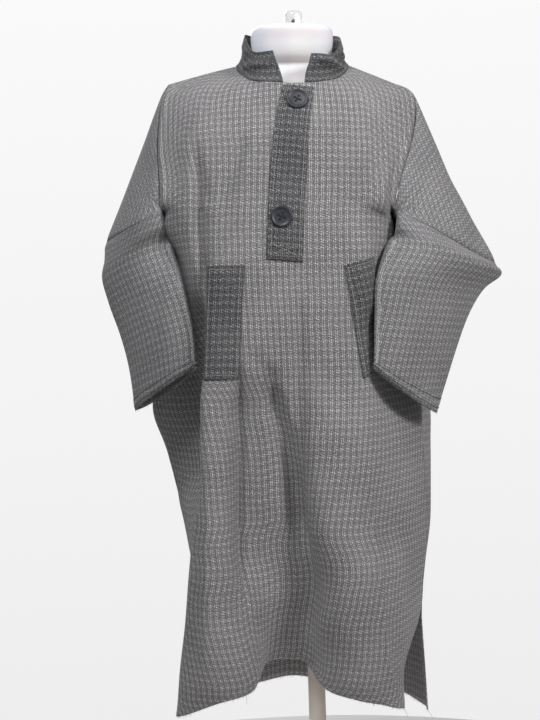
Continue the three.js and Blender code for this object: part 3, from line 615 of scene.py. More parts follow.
BACK_SLIT_RIGHT_SIDE = {12: [-196, 14, 524], 13: [-199, 14, 440], 14: [-204, 12, 347]}
BACK_ARMHOLE_RIGHT_SIDE = {1: [-236, 26, 1390], 2: [-242, 55, 1316], 3: [-236, 66, 1220]}
BACK_ARMHOLE_LEFT_SIDE = {1: [190, 22, 1390], 2: [177, 60, 1316], 3: [162, 62, 1214]}
back_table = []
for k, row in enumerate(BACK_POINTS):
    first = {**BACK_SLIT_RIGHT_SIDE, **BACK_ARMHOLE_RIGHT_SIDE}.get(k, FRONT_POINTS[k][0])
    last = {**BACK_SLIT_LEFT_SIDE, **BACK_ARMHOLE_LEFT_SIDE}.get(k, FRONT_POINTS[k][-1])
    back_table.append([first, *row, last])
back_place = cloth_surface(back_table, False, (UNDERARM_ROW, SLIT_ROW), (2, 6))

front_u, front_v = drawn_back(
    front_place, *share_grid(176, 160),
    {"left": corner_back(0), "right": corner_back(1), "top": 0.3})
front_points = seam_ridges(front_cloth(front_u, front_v), -1, front_v)
front_map = weave_lengths(front_points, False, 6 / 11, 5 / 14)
front_panel = cloth_wall("front_panel_cloth", front_points,
                         grid_normals(front_points, -1), front_map, WALL, flip=True)
dress(front_panel, body_tweed, "front_panel")

# ---------------------------------------------------------------- back panel
# Back of the pheran: a second width of the tweed, cut as the front but without an opening. It
# hangs straight from the shoulders in three soft folds and swings out towards the hem.
BACK_FOLDS = [
    (18, -11, [(-118, 1200), (-122, 1000), (-128, 760), (-134, 520), (-138, 380)]),
    (16, -11, [(86, 1180), (90, 960), (96, 720), (102, 460), (104, 370)]),
    (26, 10, [(-20, 1120), (-22, 900), (-26, 640), (-24, 380)]),
    (12, -4, [(-60, 1340), (-70, 1250), (-66, 1140)]),
    (12, -4, [(40, 1330), (48, 1240), (44, 1150)]),
    (9, -3, [(150, 1300), (140, 1230), (128, 1150)]),
    (9, -3, [(-200, 1300), (-192, 1220), (-182, 1120)]),
]
back_u, back_v = drawn_back(
    back_place, *share_grid(112, 150),
    {"left": corner_back(0), "right": corner_back(1), "top": 1.1})
back_points = seam_ridges(panel_cloth(back_place, back_u, back_v, 1, BACK_FOLDS, 8, 0.7), 1,
                          back_v)
back_panel = cloth_wall("back_panel_cloth", back_points, grid_normals(back_points, 1),
                        weave_lengths(back_points, False, 0.5, 5 / 14), WALL)
dress(back_panel, body_tweed, "back_panel")

# ---------------------------------------------------------------- sleeves
# Wide sleeves in two pieces of the same tweed: an upper piece from the armhole to a seam above
# the elbow and a lower piece to the open cuff. They hang empty, flattened front to back.
ELBOW_OF_RIGHT_ARM = [[-240, -14, 1177], [-243, -86, 1203], [-264, -86, 1190], [-288, -70, 1178],
    [-311, -38, 1168], [-330, 4, 1161], [-340, 42, 1158], [-332, 70, 1161], [-313, 86, 1168],
    [-288, 90, 1178], [-264, 84, 1190], [-247, 56, 1200]]
ELBOW_OF_LEFT_ARM = [[182, -14, 1160], [156, -94, 1190], [188, -102, 1178], [224, -92, 1157],
    [266, -66, 1134], [300, -30, 1119], [324, 8, 1112], [310, 44, 1120], [284, 68, 1133],
    [248, 80, 1152], [216, 82, 1170], [190, 58, 1188]]
# Rings of the lower sleeves: inner and outer edge, bulge in front and behind, dip in front.
CUFF_RINGS_OF_RIGHT_ARM = [
    {"inner": [-224, -70, 1150], "outer": [-337, 30, 1092], "front": 42, "back": 32, "dip": 0},
    {"inner": [-209, -89, 1100], "outer": [-329, 12, 1050], "front": 34, "back": 27, "dip": 0},
    {"inner": [-196, -99, 1045], "outer": [-313, -2, 1000], "front": 28, "back": 26, "dip": 0},
    {"inner": [-188, -105, 998], "outer": [-299, -12, 945], "front": 25, "back": 22, "dip": 2},
    {"inner": [-184, -107, 948], "outer": [-288, -18, 873], "front": 24, "back": 20, "dip": 6},
]
CUFF_RINGS_OF_LEFT_ARM = [
    {"inner": [140, -104, 1146], "outer": [323, 0, 1090], "front": 54, "back": 66, "dip": 0},
    {"inner": [115, -127, 1090], "outer": [296, -6, 1068], "front": 42, "back": 38, "dip": 0},
    {"inner": [111, -136, 1035], "outer": [269, -12, 1024], "front": 34, "back": 30, "dip": 4},
    {"inner": [108, -141, 985], "outer": [245, -24, 962], "front": 28, "back": 22, "dip": 10},
    {"inner": [106, -143, 945], "outer": [212, -45, 867], "front": 24, "back": 17, "dip": 18},
]
# The sleeves' tweed is a slightly darker copy of the body's, with dimmer and fewer flecks. This is
# painted shade for sleeves that hang in less light, since the cloth is the same.
sleeve_tweed_painted_darker = tweed_finish("sleeve tweed", (0.084, 0.083, 0.086), (0.70, 0.69, 0.70), 0.92,
                            0.56)
# Fold lines of the sleeves as points in space, seen from the front, with width and height.
SLEEVE_FOLDS = {
    "right": [
        (9, -3, [(-238, -60, 1160), (-262, -62, 1100), (-284, -50, 1040)]),
        (12, -3, [(-226, -80, 1130), (-240, -84, 1060), (-246, -80, 980)]),
        (8, 2.5, [(-320, -20, 1150), (-318, -30, 1080), (-300, -34, 1000)]),
        (10, -3, [(-240, -70, 1300), (-262, -60, 1250), (-280, -50, 1200)]),
        (9, -2.5, [(-300, 60, 1140), (-290, 56, 1060), (-276, 40, 980)]),
    ],
    "left": [
        (9, -3.5, [(200, -70, 1120), (240, -62, 1100), (286, -30, 1080)]),
        (12, -3, [(150, -110, 1100), (176, -104, 1030), (190, -92, 960)]),
        (9, 2.5, [(214, -84, 1150), (226, -84, 1070), (222, -76, 990)]),
        (10, -3, [(196, -70, 1290), (222, -66, 1240), (250, -56, 1190)]),
        (9, -2.5, [(250, 60, 1130), (236, 40, 1050), (216, 20, 980)]),
    ],
}


def sleeve_ring(row):
    """Twelve points round a flattened tube, from its inner edge over the front."""
    inner, outer = np.array(row["inner"], float), np.array(row["outer"], float)
    centre, half = (inner + outer) / 2, (inner - outer) / 2
    way = np.array((half[0], half[1], 0)) / np.hypot(half[0], half[1])
    front = np.array((-way[1], way[0], 0))
    if front[1] > 0:
        front = -front
    ring = []
    for k in range(12):
        rise = math.sin(k * math.pi / 6)
        p = centre + half * math.cos(k * math.pi / 6)
        p = p + front * rise * (row["front"] if rise >= 0 else row["back"])
        ring.append(p - np.array((0, 0, row["dip"] * max(rise, 0))))
    return np.array(ring)


def ring_between(first, second, share, swell, tuck=0.0):
    """The ring part of the way between two, swollen outwards and tucked in at the underarm."""
    first, second = np.array(first, float), np.array(second, float)
    mid = first + (second - first) * share
    way = mid - np.concatenate([first, second]).mean(0)
    push = swell - tuck * np.maximum(0, np.cos(np.arange(12) * math.pi / 6))
    return mid + way / np.linalg.norm(way, axis=1, keepdims=True) * push[:, None]


def round_arm(front, back, underarm, outer):
    """How far a sleeve's end is drawn back from its seam, round the arm."""
    def amount(u):
        inner = np.maximum(0, np.cos(2 * math.pi * u)) ** 2
        over = np.maximum(0, -np.cos(2 * math.pi * u)) ** 4
        behind = np.maximum(0, -np.sin(2 * math.pi * u))
        return front + (back - front) * behind + (underarm - front) * inner + (
            outer - front) * over
    return amount


def sleeve_piece(name, node_name, side, table, cols, rows, edges, ends, seed):
    """One piece of a sleeve, with its folds, its seam dips and its weave."""
    facing = -1 if side == "left" else 1
    place = cloth_surface(table, True)
    u, v = drawn_back(place, *share_grid(cols, rows, True), edges)
    base = place(u, v)
    rise = folds_at(base, SLEEVE_FOLDS[side], (0, 1, 2)) + ripples(base, seed, 0.55)
    length = np.linalg.norm(np.diff(base, axis=0), axis=2)
    down = np.concatenate([np.zeros((1, base.shape[1])), np.cumsum(length, axis=0)])
    rise *= smooth(down / 12) * smooth((down[-1] - down) / 12)
    for end in ends:
        rise += edge_groove(down if end == "top" else down[-1] - down, 1.0, 3.5)
    points = base + outward(place, u, v, facing, True) * rise[..., None]
    made = cloth_wall(name, points, grid_normals(points, facing, True),
                      weave_lengths(points, True, 0.25, 0.5), WALL, True, flip=facing < 0)
    dress(made, sleeve_tweed_painted_darker, node_name)
    return points


def armhole_ring(edge):
    """Twelve points round an armhole, from the underarm up the front edge and down the back."""
    found = []
    for k in range(12):
        v = ARMHOLE_END * (1 - (k if k <= 6 else 12 - k) / 6)
        found.append((front_place if k <= 6 else back_place)(edge, v))
    return np.array(found)


cuff_edges = {}
for side, edge, elbow, rings in (
        ("right", 0.0, ELBOW_OF_RIGHT_ARM, CUFF_RINGS_OF_RIGHT_ARM),
        ("left", 1.0, ELBOW_OF_LEFT_ARM, CUFF_RINGS_OF_LEFT_ARM)):
    armhole = armhole_ring(edge)
    towards_body = 1 if side == "right" else -1
    elbow = np.array(elbow, float)
    for place, ease in ((0, 10), (1, 7), (2, 3), (11, 7), (10, 3)):
        elbow[place, 0] += towards_body * ease
    upper = [armhole, ring_between(armhole, elbow, 0.2, 2), ring_between(armhole, elbow, 0.55, 0),
             np.array(elbow, float)]
    sleeve_piece(f"sleeve_{side}_upper_cloth", f"sleeve_{side}_upper", side, upper, 112, 34,
                 {"top": round_arm(0.7, 0.7, 0.9, 2.0), "bottom": 0.35},
                 ("top", "bottom"), 21 + int(edge))
    cuffs = [sleeve_ring(ring) for ring in rings]
    lower = [np.array(elbow, float), ring_between(elbow, cuffs[0], 0.5, 0, -9), *cuffs]
    cuff_edges[side] = sleeve_piece(
        f"sleeve_{side}_lower_cloth", f"sleeve_{side}_lower", side, lower, 112, 66,
        {"top": 0.35}, ("top",), 31 + int(edge))

# ---------------------------------------------------------------- collar
# Stand collar of the darker tweed, two layers sewn edge to edge and turned, open in front in a
# small V. It is soft and folds a little where it stands away from the neck.
# Where the collar is sewn on, as a panel and a column of its points, and its top edge's points.
COLLAR_SEAM = [["F", 5.6], ["F", 4.7], ["F", 3.8], ["F", 2.9], ["B", 2], ["B", 2.67],
    ["B", 3.33], ["B", 4], ["B", 4.67], ["B", 5.33], ["B", 6], ["F", 9.1], ["F", 8.2],
    ["F", 7.3], ["F", 6.42]]
COLLAR_TOP = [[-49, -85, 1460], [-64, -77, 1460], [-81, -60, 1463], [-91, -30, 1482],
    [-93, 0, 1500], [-84, 30, 1504], [-58, 54, 1505], [-15, 63, 1505], [28, 54, 1505],
    [56, 30, 1502], [65, 0, 1493], [62, -30, 1476], [48, -60, 1457], [30, -77, 1454],
    [13, -85, 1454]]
COLLAR_WALL = 2.6
trim_tweed = tweed_finish("trim tweed", (0.0105, 0.011, 0.0125), (0.50, 0.50, 0.51), 0.80, 0.76)
collar_low = [front_place(column / 11, 0.0) if panel == "F" else back_place(column / 8, 0.0)
              for panel, column in COLLAR_SEAM]
collar_place = cloth_surface([collar_low, COLLAR_TOP])
COLLAR_FOLDS = [
    (5, -6.5, [(-104, -30, 1442), (-88, -66, 1440), (-68, -84, 1440), (-50, -92, 1444)]),
    (7, 4.0, [(-104, -30, 1456), (-90, -60, 1456), (-70, -80, 1454), (-56, -88, 1452)]),
    (4, -4.0, [(-104, -20, 1470), (-88, -60, 1466), (-72, -78, 1462)]),
    (5, -6.5, [(14, -88, 1448), (36, -76, 1442), (56, -56, 1436), (70, -30, 1434)]),
    (6, 4.0, [(12, -88, 1462), (36, -74, 1458), (58, -52, 1450), (72, -24, 1448)]),
    (4, -4.0, [(50, -56, 1472), (66, -34, 1462), (74, -10, 1456)]),
    (7, -3.0, [(-90, 30, 1474), (-60, 58, 1476), (-10, 70, 1472), (44, 58, 1476)]),
    (8, 3.0, [(-92, 20, 1458), (-50, 66, 1460), (0, 74, 1460), (56, 44, 1458)]),
]
collar_u, collar_v = drawn_back(
    collar_place, *share_grid(150, 30),
    {"top": lambda u: np.where((u > 0.28) & (u < 0.72), 0.7, 0.6)})
collar_base = collar_place(collar_u, collar_v)
collar_rise = folds_at(collar_base, COLLAR_FOLDS, (0, 1, 2)) + ripples(collar_base, 5, 0.8)
collar_rise += 4.0 * np.sin(np.pi * np.clip(collar_v * 1.5, 0, 1))
collar_rise *= smooth(collar_v / 0.12)
collar_out = outward(collar_place, collar_u, collar_v, 1)
collar_points = collar_base + collar_out * collar_rise[..., None]
collar_map = weave_lengths(collar_points, False, 0.5, 0.5)
collar = cloth_wall("collar_cloth", collar_points, grid_normals(collar_points, 1), collar_map,
                    COLLAR_WALL, flip=True)
dress(collar, trim_tweed, "collar")

# ---------------------------------------------------------------- placket and pocket welts
# Strips of the darker tweed, turned in at the edges and sewn flat on the front: the placket
# over the neck opening and a slanting welt over each pocket. The tables give each one's near
# edge as X and Z, its widths, how it climbs as it runs across, and how far that edge bows.
PLACKET = {"top": [-32.5, 1402], "foot": [-65, 1121], "top_width": 51, "foot_width": 58,
    "rise": -0.1, "bow": 8}
RIGHT_WELT = {"top": [-160, 1112], "foot": [-169, 930], "top_width": 60, "foot_width": 58,
    "rise": 0.0, "bow": 0}
LEFT_WELT = {"top": [60, 1109], "foot": [86, 927], "top_width": 47, "foot_width": 54,
    "rise": 0.3, "bow": 0}
TRIM_WALL = 1.6
TRIM_CLEAR = 0.5
TRIM_LIFT = WALL / 2 + TRIM_CLEAR + TRIM_WALL / 2
scan_u, scan_v = np.meshgrid(np.linspace(2 / 11, 9 / 11, 90), np.linspace(0, 1, 140))
scan = front_place(scan_u, scan_v)


def shares_at(x, z):
    """Shares u and v of the front where it has these X and Z."""
    x, z = np.atleast_1d(np.asarray(x, float)), np.atleast_1d(np.asarray(z, float))
    miss = ((scan[None, ..., 0] - x[:, None, None]) ** 2
            + (scan[None, ..., 2] - z[:, None, None]) ** 2
            + np.maximum(0, scan[None, ..., 1] + 80) ** 2)
    near = miss.reshape(len(x), -1).argmin(1)
    u, v, h = scan_u.ravel()[near], scan_v.ravel()[near], 1e-4
    for _ in range(8):
        p = front_place(u, v)
        du, dv = (front_place(u + h, v) - p) / h, (front_place(u, v + h) - p) / h
        det = du[:, 0] * dv[:, 2] - dv[:, 0] * du[:, 2]
        ex, ez = x - p[:, 0], z - p[:, 2]
        u = u + (ex * dv[:, 2] - dv[:, 0] * ez) / det
        v = v + (du[:, 0] * ez - ex * du[:, 2]) / det
    return u, v


def strip_shares(strip, cols, rows):
    """Shares of the front under a strip: its near edge is a line and it runs across from there."""
    t = np.arange(rows + 1) / rows
    top, low = np.array(strip["top"], float), np.array(strip["foot"], float)
    start = top + (low - top) * t[:, None]
    start[:, 0] -= strip["bow"] * np.sin(math.pi * t**0.75)
    step = (strip["top_width"] + (strip["foot_width"] - strip["top_width"])
            * np.minimum(1, 2.2 * t)) / cols
    u, v = shares_at(start[:, 0], start[:, 1])
    found, h = [], 1e-4
    for _ in range(cols + 1):
        found.append(np.stack([u, v], -1))
        p = front_place(u, v)
        du, dv = (front_place(u + h, v) - p) / h, (front_place(u, v + h) - p) / h
        slide = -du[:, 2] / dv[:, 2]
        flat = np.linalg.norm(du + dv * slide[:, None], axis=1)
        run = step * math.sqrt(1 - strip["rise"] ** 2) / flat
        u = u + run
        v = v + slide * run + strip["rise"] * step / dv[:, 2]
    return np.stack(found, axis=1)


def sewn_strip(name, node_name, strip, cols, rows, lift):
    """A strip lying on the front, a little fuller along its middle than at its sewn edges."""
    shares = strip_shares(strip, cols, rows)
    u, v = shares[..., 0], shares[..., 1]
    cloth = front_cloth(u, v)
    n = grid_normals(cloth, -1)
    across, down = (np.minimum(np.arange(n + 1), np.arange(n, -1, -1)) for n in (cols, rows))
    height = abs(strip["top"][1] - strip["foot"][1])
    inside = np.minimum(across[None, :] * strip["top_width"] / cols, down[:, None] * height / rows)
    rise = 0.7 * smooth(inside / 12) - 0.35 * np.exp(-((inside - 6.5) / 1.6) ** 2)
    points = cloth + n * (lift + rise)[..., None]
    made = cloth_wall(name, points, grid_normals(points, -1),
                      weave_lengths(points, False, 0.5, 0.5), TRIM_WALL, flip=True)
    dress(made, trim_tweed, node_name)
    return points, grid_normals(points, -1)


placket_points, placket_out = sewn_strip("placket_cloth", "placket", PLACKET, 36, 120, TRIM_LIFT)
right_welt_points, right_welt_out = sewn_strip(
    "pocket_welt_right_cloth", "pocket_welt_right", RIGHT_WELT, 36, 90, TRIM_LIFT + 0.3)
left_welt_points, left_welt_out = sewn_strip(
    "pocket_welt_left_cloth", "pocket_welt_left", LEFT_WELT, 36, 90, TRIM_LIFT + 0.3)

# ---------------------------------------------------------------- buttons
# Two large four-hole buttons of dark mottled plastic, cast with a raised rim, drilled, and sewn
# on crosswise with dark thread. Both are fastened, so the buttonholes lie hidden under them.
BUTTON_PLACES = {"button_upper": [-11, 1376], "button_lower": [-40, 1188]}
BUTTON_TURN = 0.3
HOLE_RADIUS = 1.7
HOLE_PITCH = 3.6
BUTTON_PROFILE = [(0.0, 0.0), (14.6, 0.0), (16.2, 0.5), (17.2, 1.5), (17.5, 2.6), (17.3, 3.7),
                  (16.6, 4.6), (15.6, 5.0), (14.4, 4.8), (13.2, 4.1), (12.0, 3.5), (10.6, 3.3),
                  (0.0, 3.3)]
button_plastic = clouded_finish(
    "button plastic", (0.020, 0.021, 0.027), (0.050, 0.052, 0.064), 90.0, 4.0, (0.25, 0.75),
    (0.34, 0.18), 1.2, Roughness=0.42, Specular_IOR_Level=0.45)
dark_thread = clouded_finish("dark thread", (0.012, 0.012, 0.016), (0.07, 0.07, 0.08), 900.0, 1.0,
                             Roughness=0.8)


def turned(profile, segments):
    """Points and faces of a shape turned about Z from radius and height pairs, pole to pole."""
    points, faces = [(0, 0, profile[0][1])], []
    for radius, height in profile[1:-1]:
        for k in range(segments):
            a = 2 * math.pi * k / segments
            points.append((radius * math.cos(a), radius * math.sin(a), height))
    points.append((0, 0, profile[-1][1]))
    rings = len(profile) - 2
    for k in range(segments):
        nxt = (k + 1) % segments
        faces.append((0, 1 + nxt, 1 + k))
        for j in range(rings - 1):
            a, b = 1 + j * segments, 1 + (j + 1) * segments
            faces.append((a + k, a + nxt, b + nxt, b + k))
        top = 1 + (rings - 1) * segments
        faces.append((top + k, top + nxt, len(points) - 1))
    return np.array(points, float), faces


def hole_wall(x, y):
    """A short tool that cuts one sewing hole through a button."""
    points, faces = turned([(0, -3), (HOLE_RADIUS, -3), (HOLE_RADIUS, 8), (0, 8)], 20)
    return make_object("sewing_hole_tool", points + (x, y, 0), faces, soft=False)


def tube_faces(rings, around):
    """Faces of a closed tube of rings of points, with a flat end at each."""
    faces = [(j * around + k, j * around + (k + 1) % around, (j + 1) * around + (k + 1) % around,
              (j + 1) * around + k) for j in range(rings - 1) for k in range(around)]
    faces.append(tuple(range(around - 1, -1, -1)))
    faces.append(tuple((rings - 1) * around + k for k in range(around)))
    return faces


def loop_of_thread(points, radius, sides=6):
    """A thread along points in millimetres: its rings' points and faces."""
    points = np.array(points, float)
    way = np.gradient(points, axis=0)
    way /= np.linalg.norm(way, axis=1, keepdims=True)
    up = np.cross(way, (0.3, 0.2, 1.0))
    up /= np.linalg.norm(up, axis=1, keepdims=True)
    over = np.cross(way, up)
    found = []
    for k in range(sides):
        a = 2 * math.pi * k / sides
        found.append(points + radius * (math.cos(a) * up + math.sin(a) * over))
    return np.stack(found, 1).reshape(-1, 3), tube_faces(len(points), sides)


def onto_front(points, x, z, lift, spin):
    """Points of something made about +Z, seated on the front at X and Z and turned."""
    u, v = shares_at(x, z)
    n = outward(front_place, u, v, -1)[0]
    at = front_place(u, v)[0] + n * lift
    lean = Vector((0, 0, 1)).rotation_difference(Vector(n)).to_matrix()
    spun = Matrix.Rotation(spin, 3, "Z")
    return hung(points @ np.array(lean @ spun).T + at)


BUTTON_LIFT = TRIM_LIFT + TRIM_WALL / 2 + TRIM_CLEAR + 0.2
for name, (x, z) in BUTTON_PLACES.items():
    points, faces = turned(BUTTON_PROFILE, 72)
    button = make_object(name + "_plastic", points, faces)
    for sx, sy in ((-1, -1), (1, -1), (1, 1), (-1, 1)):
        tool = hole_wall(sx * HOLE_PITCH, sy * HOLE_PITCH)
        cut = button.modifiers.new("hole", "BOOLEAN")
        cut.operation, cut.solver, cut.object = "DIFFERENCE", "EXACT", tool
        bpy.context.view_layer.update()
        whole = bpy.data.meshes.new_from_object(
            button.evaluated_get(bpy.context.evaluated_depsgraph_get()))
        button.modifiers.clear()
        button.data = whole
        bpy.data.objects.remove(tool)
    placed = onto_front(np.array([v.co for v in button.data.vertices]), x, z, BUTTON_LIFT, BUTTON_TURN)
    for vertex, p in zip(button.data.vertices, placed):
        vertex.co = p
    button.data.set_sharp_from_angle(angle=math.radians(40))
    button.data.materials.clear()
    dress(button, button_plastic, name)
    stitch_points, stitch_faces = [], []
    for sx, sy, high in ((1, 1, 0.0), (1, -1, 0.5)):
        for aside in (-0.55, 0.0, 0.55):
            t = np.linspace(-1, 1, 15)
            path = np.stack([sx * HOLE_PITCH * t * 1.12 - sy * aside * 0.7,
                             sy * HOLE_PITCH * t * 1.12 + sx * aside * 0.7,
                             BUTTON_PROFILE[-1][1] - 1.5 + (2.1 + high) * (1 - t**6)], 1)
            made, around = loop_of_thread(path, 0.32)
            start = sum(len(p) for p in stitch_points)
            stitch_points.append(made)
            stitch_faces += [tuple(k + start for k in face) for face in around]
    sewn = make_object(name + "_thread",
                       onto_front(np.concatenate(stitch_points), x, z, BUTTON_LIFT, BUTTON_TURN),
                       stitch_faces)
    dress(sewn, dark_thread)

# ---------------------------------------------------------------- dress form
# The limbless form that the pheran hangs on: a moulded torso of frosted, slightly see-through
# plastic with a plain neck and a nearly flat top. It leans a little on its pole.
# Rings of the form: height, half width, half depth and how far back its middle lies.
FORM_RINGS = [
    [900, 126, 84, 0], [914, 138, 92, 0], [980, 141, 94, 0], [1060, 134, 90, 2],
    [1140, 132, 90, 0], [1220, 138, 94, -4], [1300, 152, 92, -6], [1350, 160, 82, -4],
    [1385, 156, 66, 0], [1405, 146, 55.8, 2.2], [1420, 124, 49.6, 3.2], [1432, 106, 45.6, 3.2],
    [1445, 91, 39.8, 2.1], [1452, 74, 43, 1], [1462, 68, 46, -2], [1485, 70, 50, -4],
    [1502, 70, 56, -4], [1508, 66, 54, -4],
]
FORM_CENTRE = -16.0
FORM_INSET = 1.3
# The form's plastic carries a painted glow: an emission strength of 0.26, with the emission colour set
# below, although the form is no lamp.
form_plastic, form_tree, form_shader = new_finish(
    "form plastic", Roughness=0.38, IOR=1.46, Subsurface_Weight=0.35, Subsurface_Scale=0.03,
    Coat_Weight=0.15, Coat_Roughness=0.25, Emission_Strength=0.26)
cloud = node(form_tree, "ShaderNodeTexNoise", {}, {
    "Vector": node(form_tree, "ShaderNodeTexCoord", {}, {}, out="Object"),
    "Scale": 9.0, "Detail": 4.0})
shade = node(form_tree, "ShaderNodeValToRGB", {"stops": [
    (0.30, (0.80, 0.78, 0.79, 1)), (0.70, (0.92, 0.91, 0.92, 1))]}, {"Fac": cloud})
# Painted glow: black below 1.448 m, rising to near white by 1.478 m. The neck gives off light of its
# own, standing in for light coming through the plastic.
spot = node(form_tree, "ShaderNodeSeparateXYZ", {}, {
    "Vector": node(form_tree, "ShaderNodeTexCoord", {}, {}, out="Object")}, out="node")
painted_neck_glow = node(form_tree, "ShaderNodeValToRGB", {"stops": [
    (0.0, (0.0, 0.0, 0.0, 1)), (1.0, (0.95, 0.94, 0.96, 1))]}, {
        "Fac": Yarn(form_tree, spot.outputs["Z"]).above(1.448, 0.03)})
form_tree.links.new(painted_neck_glow.socket, form_shader.inputs["Emission Color"])
# Painted shade: the form is white within about 10 mm of its middle and turns grey, then bluish grey,
# towards its sides. This stands in for how light passes through the plastic.
across = Yarn(form_tree, spot.outputs["X"])
across = across.maths("ABSOLUTE", across - 0.002)
painted_edge_shade = node(form_tree, "ShaderNodeValToRGB", {"stops": [
    (0.010, (1.0, 1.0, 0.99, 1)), (0.018, (0.93, 0.93, 0.94, 1)), (0.045, (0.90, 0.92, 0.96, 1)),
    (0.066, (0.70, 0.76, 0.86, 1))]}, {"Fac": across})
shade = node(form_tree, "ShaderNodeMix", {"data_type": "RGBA", "blend_type": "MULTIPLY"},
             {"Factor": 1.0, 6: shade, 7: painted_edge_shade}, out=2)
form_tree.links.new(shade.socket, form_shader.inputs["Base Color"])
form_tree.links.new((0.30 + cloud * 0.16).socket, form_shader.inputs["Roughness"])
form_rings = np.array(FORM_RINGS, float)
steps = np.linspace(0, 1, 5 * len(form_rings) + 1)
form_profile = between(np.repeat(form_rings[:, None, :], len(steps), 1), steps)
angles = np.arange(120) * 2 * math.pi / 120
FORM_TOP_DOME = ((0.93, 1.6), (0.8, 3.0), (0.6, 4.0), (0.35, 4.6), (0.12, 4.9))
shapes = [(1.0, 0.0, ring) for ring in form_profile]
shapes += [(share, rise, form_rings[-1]) for share, rise in FORM_TOP_DOME]
form_points = np.array([[(FORM_CENTRE + (w - FORM_INSET) * share * math.cos(a),
                          back + (d - FORM_INSET) * share * math.sin(a), h + rise)
                         for a in angles] for share, rise, (h, w, d, back) in shapes])
form = make_object("dress_form_shell", hung(form_points.reshape(-1, 3)),
                   tube_faces(*form_points.shape[:2]))
form.data.set_sharp_from_angle(angle=math.radians(50))
dress(form, form_plastic, "dress_form")

# ---------------------------------------------------------------- cap on the neck
# A clear plastic cap, cast in one piece, that closes the top of the form's neck. A small steel
# bolt in its front holds it.
# The cap's plastic carries a faint painted glow: it gives off pale light of its own, although it is no
# lamp.
cap_plastic_painted_glow = clouded_finish(
    "clear plastic", (0.86, 0.85, 0.84), (0.96, 0.96, 0.95), 60.0, 3.0, rough=(0.06, 0.2),
    Roughness=0.08, IOR=1.46, Transmission_Weight=0.75, Emission_Color=(0.95, 0.95, 0.97, 1),
    Emission_Strength=0.18)
cap_points, cap_faces = turned(
    [(0, 0), (12.4, 0), (13.2, 0.3), (14.4, 1.2), (14.9, 2.4), (15.0, 4.0), (15.0, 17.5),
     (14.8, 19.4), (14.0, 21.6), (12.6, 23.6), (10.6, 24.9), (7.5, 25.6), (0, 26)], 64)
cap = make_object("form_cap", hung(cap_points + (FORM_CENTRE + 3, -4, 1513.3)), cap_faces)
dress(cap, cap_plastic_painted_glow, "form_knob")
bolt_steel = clouded_finish("bolt steel", (0.10, 0.09, 0.09), (0.30, 0.29, 0.28), 300.0,
                            Metallic=1.0, Roughness=0.35)
bolt_points, bolt_faces = turned(
    [(0, 0), (3.4, 0), (3.6, 0.3), (3.6, 2.2), (3.2, 2.8), (1.6, 3.1), (0, 3.1)], 24)
bolt_points = bolt_points @ np.array(Matrix.Rotation(math.radians(90), 3, "X")).T
bolt = make_object("cap_bolt", hung(bolt_points + (FORM_CENTRE + 3, -18.6, 1519.0)), bolt_faces)
dress(bolt, bolt_steel)

# ---------------------------------------------------------------- pole and base
# A steel tube that carries the form and stands in a round weighted base, both painted cream
# with a soft gloss.
pole_paint = clouded_finish(
    "cream paint", (0.68, 0.61, 0.53), (0.78, 0.72, 0.64), 24.0, 5.0, rough=(0.22, 0.2),
    Roughness=0.3, Coat_Weight=0.3, Coat_Roughness=0.15)
pole_points, pole_faces = turned(
    [(0, 0), (14.0, 0), (14.5, 0.5), (14.5, 885.5), (14.0, 886.0), (0, 886.0)], 72)
pole = make_object("pole_tube", (pole_points + (0, 0, 12.3)) / 1000, pole_faces)
base_points, base_faces = turned(
    [(0, 0), (173.6, 0), (174.6, 0.5), (175.0, 1.5), (175.0, 7.6), (174.2, 9.6), (172.4, 11.0),
     (170.0, 11.7), (166.0, 12.0), (0, 12.0)], 128)
base = make_object("base_disc", base_points / 1000, base_faces)
for made, node_name in ((pole, "pole"), (base, "base_plate")):
    made.data.set_sharp_from_angle(angle=math.radians(40))
    dress(made, pole_paint, node_name)

# ---------------------------------------------------------------- stitching
# Pale cotton machine stitching: along the placket's edges and in a crossed box at its foot,
# round the welts, along the collar's top, and as overlock at the cuffs and down the sleeves'
# inner seams. Dark rows lie above each cuff, and long basting stitches inside the slit.
pale_thread = clouded_finish("pale thread", (0.28, 0.28, 0.28), (0.68, 0.67, 0.66), 700.0,
                             Roughness=0.8)


def tree_input(tree, name, kind, value):
    """Adds a named input to a node group and gives its identifier."""
    item = tree.interface.new_socket(name, in_out="INPUT", socket_type=kind)
    if value is not None:
        item.default_value = value
    return item.identifier


def end_tree(tree, points, shape, turn, size, finish):
    """Sets a shape on each point, makes the copies real, gives them a finish and ends the tree."""
    tree.interface.new_socket("Sewing", in_out="OUTPUT", socket_type="NodeSocketGeometry")
    placed = node(tree, "GeometryNodeInstanceOnPoints", {}, {
        "Points": points, "Instance": shape, "Rotation": turn, "Scale": size})
    solid = node(tree, "GeometryNodeRealizeInstances", {}, {"Geometry": placed})
    dressed = node(tree, "GeometryNodeSetMaterial", {}, {"Geometry": solid, "Material": finish})
    node(tree, "NodeGroupOutput", {}, {"Sewing": dressed}, out="node")


